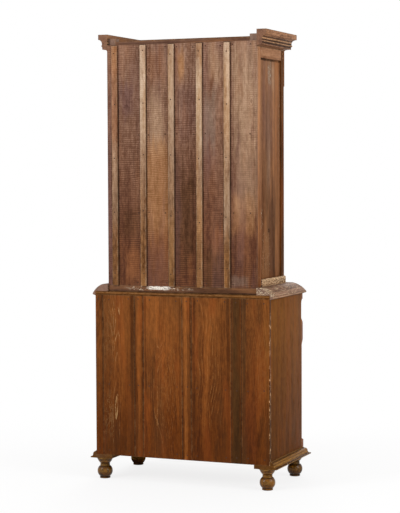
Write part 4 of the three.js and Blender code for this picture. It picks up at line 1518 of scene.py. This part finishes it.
@dataclass(frozen=True)
class Feet(Assembly):
    """The four turned ball feet.

    Attributes:
        steps: The faces round a foot.
        pad: The radius and height of the pad.
        ball: The ball's radius, and half its height.
        shoulder: The level where the ball meets the neck.
        neck: The neck's radius.
        bead: The radius of a bead of the neck.
        beads: How many beads the neck has.
        fillet: The plain length between the beads and the flare.
        swell: How far the flare's curve is pulled out and down.
        lip: How far the cap overhangs the flare, and how thick it is.
        cap: The radius and level of the cap.
        arris: The chamfer of the pad and the cap.
        fineness: How many lengths the curves of the ball, a bead and the flare have.
        bands: The levels, with wear and painted highlight, and with grime and painted shade.
    """

    steps: int = 48
    pad: tuple[float, float] = (0.0265, 0.007)
    ball: tuple[float, float] = (0.038, 0.036)
    shoulder: float = 0.061
    neck: float = 0.0225
    bead: float = 0.002
    beads: int = 3
    fillet: float = 0.0004
    swell: float = 0.0025
    lip: tuple[float, float] = (0.002, 0.006)
    cap: tuple[float, float] = (0.0405, 0.104)
    arris: float = 0.001
    fineness: tuple[int, int, int] = (20, 6, 10)
    bands: Bands = (
        (0.0, -1.0), (0.005, 0.4), (0.008, -1.0), (0.018, -0.3), (0.034, 0.3), (0.05, 0.3),
        (0.056, -0.3), (0.06, -1.0), (0.063, 0.9), (0.0655, -1.0), (0.067, 0.9), (0.0695, -1.0),
        (0.071, 0.9), (0.0745, -1.0), (0.08, -0.3), (0.085, 0.6), (0.0885, -0.9), (0.093, 0.5),
        (0.0975, -1.0), (0.1, 0.7), (0.104, 0.2))

    def build(self) -> None:
        """Turns one foot and sets a copy of it at each corner."""
        bench = self.joiner.bench
        model = bench.turned("ball_foot_model", self.outline(), self.steps)
        for row in Row:
            for side in Side:
                node = f"foot_{row}_{side.word}"
                low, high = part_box(node)
                middle = ((low.x + high.x) / 2, (low.y + high.y) / 2, 0.0)
                piece = bench.set_out(model, f"ball_{node}", Facing.UP, [middle])
                finish, grime_and_shade = Palette.TURNED, ()
                # The back of the front right foot is darkened with painted shade as well as grime.
                if (row, side) == (Row.FRONT, Side.RIGHT):
                    finish = replace(finish, coat=0.0, sheen=0.0, roughness=0.8)
                    grime_and_shade = (Blush((0.4325, -0.136, 0.05), (0.09, 0.046, 0.09),
                                   Tone("2a160c", "100603"), 1.0, 0.5),)
                # The front feet are made darker than the back ones as painted shade.
                marks = Marks(1.0 if row is Row.BACK else 0.8, blushes=grime_and_shade, bands=self.bands,
                              pith=(0.004, 0.006))
                self.joiner.fix_timber(piece, "case", finish, Grain.UPRIGHT, marks)
                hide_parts(node)
        bpy.data.objects.remove(model)

    def outline(self) -> list[tuple[float, float]]:
        """Gives the foot's outline, from its pad to its cap.

        Returns:
            The radius and height of each point.
        """
        arris, (radius, half) = self.arris, self.ball
        ball_lengths, bead_lengths, flare_lengths = self.fineness
        start, end = (math.asin((z - half) / half) for z in (self.pad[1], self.shoulder))
        turns = [start + (end - start) * i / ball_lengths for i in range(ball_lengths + 1)]
        ball = [(radius * math.cos(turn), half + half * math.sin(turn)) for turn in turns]
        neck = []
        for index in range(self.beads):
            middle = self.shoulder + self.bead * (2 * index + 1)
            for i in range(bead_lengths + 1):
                turn = math.pi * (i / bead_lengths - 0.5)
                neck.append((self.neck + self.bead * math.cos(turn),
                             middle + self.bead * math.sin(turn)))
        foot = (self.neck, neck[-1][1] + self.fillet)
        head = (self.cap[0] - self.lip[0], self.cap[1] - self.lip[1])
        pull = ((foot[0] + head[0]) / 2 + self.swell, (foot[1] + head[1]) / 2 - self.swell)
        flare = []
        for i in range(flare_lengths + 1):
            share = i / flare_lengths
            flare.append(tuple((1 - share) ** 2 * a + 2 * share * (1 - share) * b + share ** 2 * c
                               for a, b, c in zip(foot, pull, head)))
        wide, top = self.cap
        cap = [(wide - arris, head[1]), (wide, head[1] + arris), (wide, top - arris),
               (wide - arris, top), (0.0, top)]
        pad = [(0.0, 0.0), (self.pad[0] - arris, 0.0), (self.pad[0], arris), self.pad]
        return [*pad, *ball, *neck, *flare, *cap]


@dataclass(frozen=True)
class Doors(Assembly):
    """The four framed doors.

    Attributes:
        tongue: How far a panel reaches into its frame.
        groove: Half the width of the grime round a panel.
        soft: The rounding of the edges.
    """

    tongue: float = 0.007
    groove: float = 0.003
    soft: float = 0.0006

    def build(self) -> None:
        """Builds each door's stiles, rails and panel."""
        for stage in Stage:
            for side in Side:
                self.door(stage, side)

    def door(self, stage: Stage, side: Side) -> None:
        """Builds one door.

        Args:
            stage: The case that it closes.
            side: Its side.
        """
        body = f"{stage}_door_{side.word}"
        panel = f"{stage}_door_panel_{side.word}"
        low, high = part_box(panel)
        left, right = low.x + self.tongue, high.x - self.tongue
        foot, head = low.z + self.tongue, high.z - self.tongue
        middle = (foot + head) / 2
        between = (Cut((left, 0.0, 0.0), (-1.0, 0.0, 0.0)), Cut((right, 0.0, 0.0), (1.0, 0.0, 0.0)))
        for name, grain, cuts in (
            ("stile_left", Grain.UPRIGHT, (Cut((left, 0.0, 0.0), (1.0, 0.0, 0.0)),)),
            ("stile_right", Grain.UPRIGHT, (Cut((right, 0.0, 0.0), (-1.0, 0.0, 0.0)),)),
            ("rail_foot", Grain.ACROSS, (*between, Cut((0.0, 0.0, middle), (0.0, 0.0, 1.0)))),
            ("rail_head", Grain.ACROSS, (*between, Cut((0.0, 0.0, middle), (0.0, 0.0, -1.0)))),
        ):
            self.joiner.make(Member(f"{body}_{name}", f"{stage}_door_frame_{side.word}",
                                    Palette.FRONT, grain, cuts, self.soft, body=body))
        areas = [((x, low.y, middle), (self.groove, 0.1, ENDLESS)) for x in (left, right)]
        areas += [(((left + right) / 2, low.y, z), (1.0, 0.1, self.groove)) for z in (foot, head)]
        grime = tuple(Blush(centre, reach, GRIME, 0.75) for centre, reach in areas)
        self.joiner.make(Member(f"{body}_panel", panel, Palette.FRONT, Grain.UPRIGHT, (),
                                self.soft, Marks(1.15, blushes=grime, pith=(0.01, 0.05)), body))


@dataclass(frozen=True)
class Hardware(Assembly):
    """The locks, bolts, keeps, keys and key plates.

    Attributes:
        soft: The rounding of the edges.
        plate_wide: Half the width of a key plate.
        plate_tall: Half its height.
        plate_thick: Its thickness.
        hole: The radius of the keyhole's round head.
        slit: Half the width of its slit.
        drop: The length of its slit.
        lobes: How far the plate's outline swells in four lobes and in eight ripples.
        steps: The points round the plate.
    """

    soft: float = 0.0004
    plate_wide: float = 0.0115
    plate_tall: float = 0.023
    plate_thick: float = 0.0014
    hole: float = 0.0041
    slit: float = 0.0017
    drop: float = 0.007
    lobes: tuple[float, float] = (0.14, 0.05)
    steps: int = 40

    def build(self) -> None:
        """Builds both locks."""
        for stage in Stage:
            for node, body, finish in (
                (f"{stage}_lock_case", f"{stage}_door_right", IRON),
                (f"{stage}_lock_bolt", f"{stage}_bolt", BRASS),
                (f"{stage}_lock_keep", f"{stage}_door_left", IRON),
                (f"{stage}_key", f"{stage}_key", IRON),
            ):
                piece = self.joiner.bench.copy_of(node, f"{node}_piece")
                self.joiner.bench.soften(piece, self.soft)
                self.joiner.fix_metal(piece, body, finish)
                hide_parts(node)
            low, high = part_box(f"{stage}_key")
            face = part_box(f"{stage}_door_frame_right")[0].y
            plate = self.key_plate(f"{stage}_key_plate",
                                   ((low.x + high.x) / 2, face, (low.z + high.z) / 2))
            self.joiner.fix_metal(plate, f"{stage}_door_right", BRASS)

    def key_plate(self, name: str, keyhole: Point) -> bpy.types.Object:
        """Models an oval key plate with waisted sides, pierced by a keyhole.

        Args:
            name: The plate's name.
            keyhole: The middle of the keyhole on the face that the plate lies on.

        Returns:
            The plate.
        """
        x, y, z = keyhole
        bench = self.joiner.bench
        ring = {"vertices": self.steps, "rotation": (math.pi / 2, 0.0, 0.0)}
        piece = bench.start(name, bpy.ops.mesh.primitive_circle_add, radius=1.0,
                            location=(0.0, 0.0, 0.0), **ring)
        for point in piece.data.vertices:
            turn = math.atan2(point.co.z, point.co.x)
            reach = 1.0 + self.lobes[0] * math.cos(4 * turn) + self.lobes[1] * math.cos(8 * turn)
            point.co = (x + self.plate_wide * reach * math.cos(turn), y,
                        z + self.plate_tall * reach * math.sin(turn))
        with bench.editing(piece):
            bpy.ops.mesh.primitive_circle_add(radius=self.hole, location=(x, y, z), **ring)
            shape = bmesh.from_edit_mesh(piece.data)
            for point in shape.verts:
                if point.select and abs(point.co.x - x) < self.slit and point.co.z < z:
                    point.co.z -= self.drop
            bmesh.update_edit_mesh(piece.data)
            bpy.ops.mesh.select_all(action="SELECT")
            bpy.ops.mesh.bridge_edge_loops()
            bpy.ops.mesh.select_all(action="SELECT")
            bench.pull(0.0, -self.plate_thick, 0.0)
            bpy.ops.mesh.select_all(action="SELECT")
            bpy.ops.mesh.normals_make_consistent(inside=False)
        bench.soften(piece, self.soft, 3)
        return piece


@dataclass(frozen=True)
class Fasteners(Assembly):
    """The nails, screws and pegs that hold the cupboard together.

    Attributes:
        jitter: How far a nail strays from its place.
        batten_stray: How far up or down a batten's nail strays.
        edge: How far in from its edge a board is nailed.
        batten_levels: The levels of the nails in the battens.
        board_levels: Those of the upper boards.
        lower_levels: Those of the lower boards.
        nail: The shape of a nail's head.
        nail_knock: How the hammer has moved its face.
        screw: The shape of a screw's head.
        slot: Half the width of a screw's slot.
        slot_depth: The slot's depth.
        peg: The shape of a peg's end.
        peg_lean: How far its face lies aside.
        peg_sink: How far its sides are pulled in.
        lock_edge: How far in from a lock's edges its screws stand.
        keep_edge: How far in from a keep's head and foot they stand.
        peg_inset: How far in from a door's edge its pegs stand.
        foot_pegs: How far above a door's foot they stand.
        head_pegs: How far below a door's head they stand.
        post_pegs: The middles of the corner posts' pegs, as Y.
        rail_pegs: Their levels.
    """

    jitter: float = 0.004
    batten_stray: float = 0.03
    edge: float = 0.03
    batten_levels: tuple[float, ...] = (1.04, 1.31, 1.58, 1.85, 2.1)
    board_levels: tuple[float, ...] = (0.984, 1.327, 1.709, 2.128)
    lower_levels: tuple[float, ...] = (0.15, 0.479, 0.9)
    nail: HeadShape = HeadShape("nail_head_model", 10, 0.0034, 0.0014, 0.0002, 0.0012)
    nail_knock: Point = (0.0002, 0.0001, 0.0002)
    screw: HeadShape = HeadShape("screw_head_model", 20, 0.0034, 0.0014, 0.0003, 0.0002)
    slot: float = 0.0005
    slot_depth: float = 0.0007
    peg: HeadShape = HeadShape("peg_head_model", 9, 0.0042, 0.003, 0.0005, 0.0007)
    peg_lean: float = 0.0001
    peg_sink: float = 0.0003
    lock_edge: float = 0.007
    keep_edge: float = 0.0033
    peg_inset: float = 0.042
    foot_pegs: tuple[float, float] = (0.024, 0.056)
    head_pegs: tuple[float, float] = (0.02, 0.044)
    post_pegs: tuple[float, float] = (0.215, -0.121)
    rail_pegs: tuple[float, ...] = (1.02, 2.082, 2.104)

    def build(self) -> None:
        """Builds every fastener that shows."""
        for model, drive in ((self.nail_head(), self.nails), (self.screw_head(), self.screws),
                             (self.peg_head(), self.pegs)):
            drive(model)
            bpy.data.objects.remove(model)

    def nail_head(self) -> bpy.types.Object:
        """Models the low head of a forged nail, which stands 0.4 mm proud of Z = 0.

        Returns:
            The head.
        """
        bench = self.joiner.bench
        piece = bench.head(self.nail)
        with bench.editing(piece):
            bench.pick(piece, lambda middle, normal: normal.z > 0.9)
            bpy.ops.mesh.inset(thickness=self.nail.rim)
            bpy.ops.transform.translate(value=self.nail_knock)
        bpy.ops.object.shade_smooth_by_angle(angle=SHARP_ANGLE)
        return piece

    def screw_head(self) -> bpy.types.Object:
        """Models a slotted screw head, which stands 0.3 mm proud of Z = 0.

        Returns:
            The head.
        """
        bench, slot = self.joiner.bench, self.slot
        piece = bench.head(self.screw)
        with bench.editing(piece):
            for side in (-slot, slot):
                bpy.ops.mesh.select_all(action="SELECT")
                bpy.ops.mesh.bisect(plane_co=(side, 0.0, 0.0), plane_no=(1.0, 0.0, 0.0))
            bench.pick(piece, lambda middle, normal: normal.z > 0.9 and abs(middle.x) < slot)
            bpy.ops.mesh.inset(thickness=self.screw.rim)
            bench.pull(0.0, 0.0, -self.slot_depth)
        bench.soften(piece, 0.0001)
        return piece

    def peg_head(self) -> bpy.types.Object:
        """Models the end of a whittled peg, which stands 0.5 mm proud of Z = 0.

        Returns:
            The end.
        """
        bench = self.joiner.bench
        piece = bench.head(self.peg)
        with bench.editing(piece):
            bench.pick(piece, lambda middle, normal: normal.z > 0.9)
            bpy.ops.mesh.inset(thickness=self.peg.rim)
            bpy.ops.transform.translate(value=(self.peg_lean, 0.0, 0.0))
            bench.pick(piece, lambda middle, normal: abs(normal.z) < 0.1)
            bpy.ops.transform.translate(value=(0.0, 0.0, -self.peg_sink))
        bench.soften(piece, 0.0002)
        return piece

    def nails(self, model: bpy.types.Object) -> None:
        """Drives the nails of the battens and of both backs.

        Args:
            model: A nail's head.
        """
        for kind, count, levels, face, stray in (
            ("upper_back_batten", 5, self.batten_levels, PLANED_FACE, self.batten_stray),
            ("upper_back_board", 5, self.board_levels, SAWN_FACE, self.jitter),
            ("lower_back_board", 8, self.lower_levels, PLANED_FACE, self.jitter),
        ):
            for index in range(1, count + 1):
                node = f"{kind}_{index}"
                low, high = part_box(node)
                chance = random.Random(node)
                narrow = high.x - low.x < 3 * self.edge
                rows = [(low.x + high.x) / 2] if narrow else [low.x + self.edge, high.x - self.edge]
                places = [(x + chance.uniform(-self.jitter, self.jitter), face,
                           z + chance.uniform(-stray, stray)) for z in levels for x in rows]
                piece = self.joiner.bench.set_out(model, f"{node}_nails", Facing.BACK, places)
                self.joiner.fix_metal(piece, "case", RUST)

    def screws(self, model: bpy.types.Object) -> None:
        """Drives the screws of the locks and keeps.

        Args:
            model: A screw's head.
        """
        for stage in Stage:
            for part, side, edge, columns in (("lock_case", Side.RIGHT, self.lock_edge, 2),
                                              ("lock_keep", Side.LEFT, self.keep_edge, 1)):
                low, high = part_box(f"{stage}_{part}")
                across = [(low.x + high.x) / 2] if columns == 1 else [low.x + edge, high.x - edge]
                places = [(x, high.y, z) for x in across for z in (low.z + edge, high.z - edge)]
                piece = self.joiner.bench.set_out(model, f"{stage}_{part}_screws", Facing.BACK,
                                                  places)
                self.joiner.fix_metal(piece, f"{stage}_door_{side.word}", IRON)

    def pegs(self, model: bpy.types.Object) -> None:
        """Drives the pegs of the doors' joints and of the upper sides' joints.

        Args:
            model: A peg's end.
        """
        groups = []
        for stage in Stage:
            for side in Side:
                low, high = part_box(f"{stage}_door_frame_{side.word}")
                levels = [low.z + up for up in self.foot_pegs]
                levels += [high.z - down for down in self.head_pegs]
                places = [(x, low.y, z) for x in (low.x + self.peg_inset, high.x - self.peg_inset)
                          for z in levels]
                body = f"{stage}_door_{side.word}"
                groups.append((body, body, Facing.FRONT, Grain.DEEP, places))
        for side, facing in ((Side.LEFT, Facing.LEFT), (Side.RIGHT, Facing.RIGHT)):
            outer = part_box(f"upper_side_frame_{side.word}")[side is Side.RIGHT].x
            places = [(outer, y, z) for y in self.post_pegs for z in self.rail_pegs]
            groups.append((f"upper_side_{side.word}", "case", facing, Grain.ACROSS, places))
        for name, body, facing, grain, places in groups:
            piece = self.joiner.bench.set_out(model, f"{name}_pegs", facing, places)
            self.joiner.fix_timber(piece, body, Palette.PEG, grain, Marks())


@dataclass(frozen=True)
class Studio:
    """The camera, lamps, floor and world round the cupboard.

    Attributes:
        camera_place: Where the camera stands, in metres.
        camera_turn: How it is turned, in degrees.
        lens: Its focal length in millimetres, for a sensor 36 mm wide.
        lamps: Each lamp's name, place, side in metres and power in watts.
        aim: The point that the lamps face.
        floor_side: The side of the floor, in metres.
        soft_light: The strength of the light from all round.
    """

    camera_place: Point = (-3.1515, 7.5658, 1.5402)
    camera_turn: Point = (86.95, 0.22, 202.626)
    lens: float = 148.1
    lamps: tuple[tuple[str, Point, float, float], ...] = (
        ("key", (3.2, 4.6, 3.4), 2.2, 165.0), ("side", (-4.8, 1.0, 2.6), 2.6, 130.0),
        ("front", (1.4, -5.2, 2.8), 3.0, 150.0))
    aim: Point = (0.0, 0.0, 1.1)
    floor_side: float = 14.0
    soft_light: float = 0.5

    def build(self) -> None:
        """Builds the studio."""
        scene = bpy.context.scene
        scene.view_settings.view_transform = "Standard"
        data = bpy.data.cameras.new("studio_camera")
        data.sensor_fit = "HORIZONTAL"
        data.sensor_width = 36.0
        data.lens = self.lens
        camera = bpy.data.objects.new("studio_camera", data)
        camera.location = self.camera_place
        camera.rotation_euler = [math.radians(turn) for turn in self.camera_turn]
        scene.collection.objects.link(camera)
        scene.camera = camera
        for name, place, size, power in self.lamps:
            data = bpy.data.lights.new(f"{name}_lamp", "AREA")
            data.shape = "SQUARE"
            data.size = size
            data.energy = power
            lamp = bpy.data.objects.new(f"{name}_lamp", data)
            lamp.location = place
            toward = Vector(self.aim) - Vector(place)
            lamp.rotation_euler = toward.to_track_quat("-Z", "Y").to_euler()
            scene.collection.objects.link(lamp)
        self.world()
        self.floor()

    @staticmethod
    def seen(graph: Graph) -> Signal:
        """Finds the rays that show the background: camera, glossy and transmission.

        Args:
            graph: The tree that asks.

        Returns:
            1 for those rays and 0 for others.
        """
        path = graph.signals(graph.add("ShaderNodeLightPath"))
        seen = graph.math("MAXIMUM", path["Is Camera Ray"], path["Is Glossy Ray"])
        return graph.math("MAXIMUM", seen, path["Is Transmission Ray"])

    def world(self) -> None:
        """Builds the world: soft light, and white where it is seen."""
        world = bpy.data.worlds.new("studio_world")
        graph = Graph(world)
        soft, white = (graph.add("ShaderNodeBackground", WHITE, strength)
                       for strength in (self.soft_light, 1.0))
        mix = graph.add("ShaderNodeMixShader", self.seen(graph), soft.outputs[0], white.outputs[0])
        graph.add("ShaderNodeOutputWorld", mix.outputs[0])
        bpy.context.scene.world = world

    def floor(self) -> None:
        """Builds the pale floor, which keeps a soft shadow of the cupboard."""
        floor = Bench.start("studio_floor", bpy.ops.mesh.primitive_plane_add, size=self.floor_side)
        material = bpy.data.materials.new("studio_floor")
        graph = Graph(material)
        shader = graph.add("ShaderNodeBsdfPrincipled", inputs={
            "Base Color": (0.95, 0.95, 0.95, 1.0), "Roughness": 0.9, "Specular IOR Level": 0.0})
        glow = graph.add("ShaderNodeEmission", WHITE)
        place = graph.signals(graph.add("ShaderNodeTexCoord"))["Object"]
        far = graph.spread(graph.vector("LENGTH", place), 0.6, 2.8, 0.82, 1.0)
        mix = graph.add("ShaderNodeMixShader", self.seen(graph) * far, shader.outputs[0],
                        glow.outputs[0])
        graph.add("ShaderNodeOutputMaterial", mix.outputs[0])
        floor.data.materials.append(material)


def main() -> None:
    """Builds the cupboard's pieces in order."""
    logging.basicConfig(level=logging.INFO, format="%(message)s")
    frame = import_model()
    Studio().build()
    joiner = Joiner(Bench(frame["nodes"]))
    for assembly in (UpperBack, UpperSides, Mouldings, UpperCase, LowerCase, Feet, Doors,
                     Hardware, Fasteners):
        assembly(joiner).build()


if __name__ == "__main__":
    main()
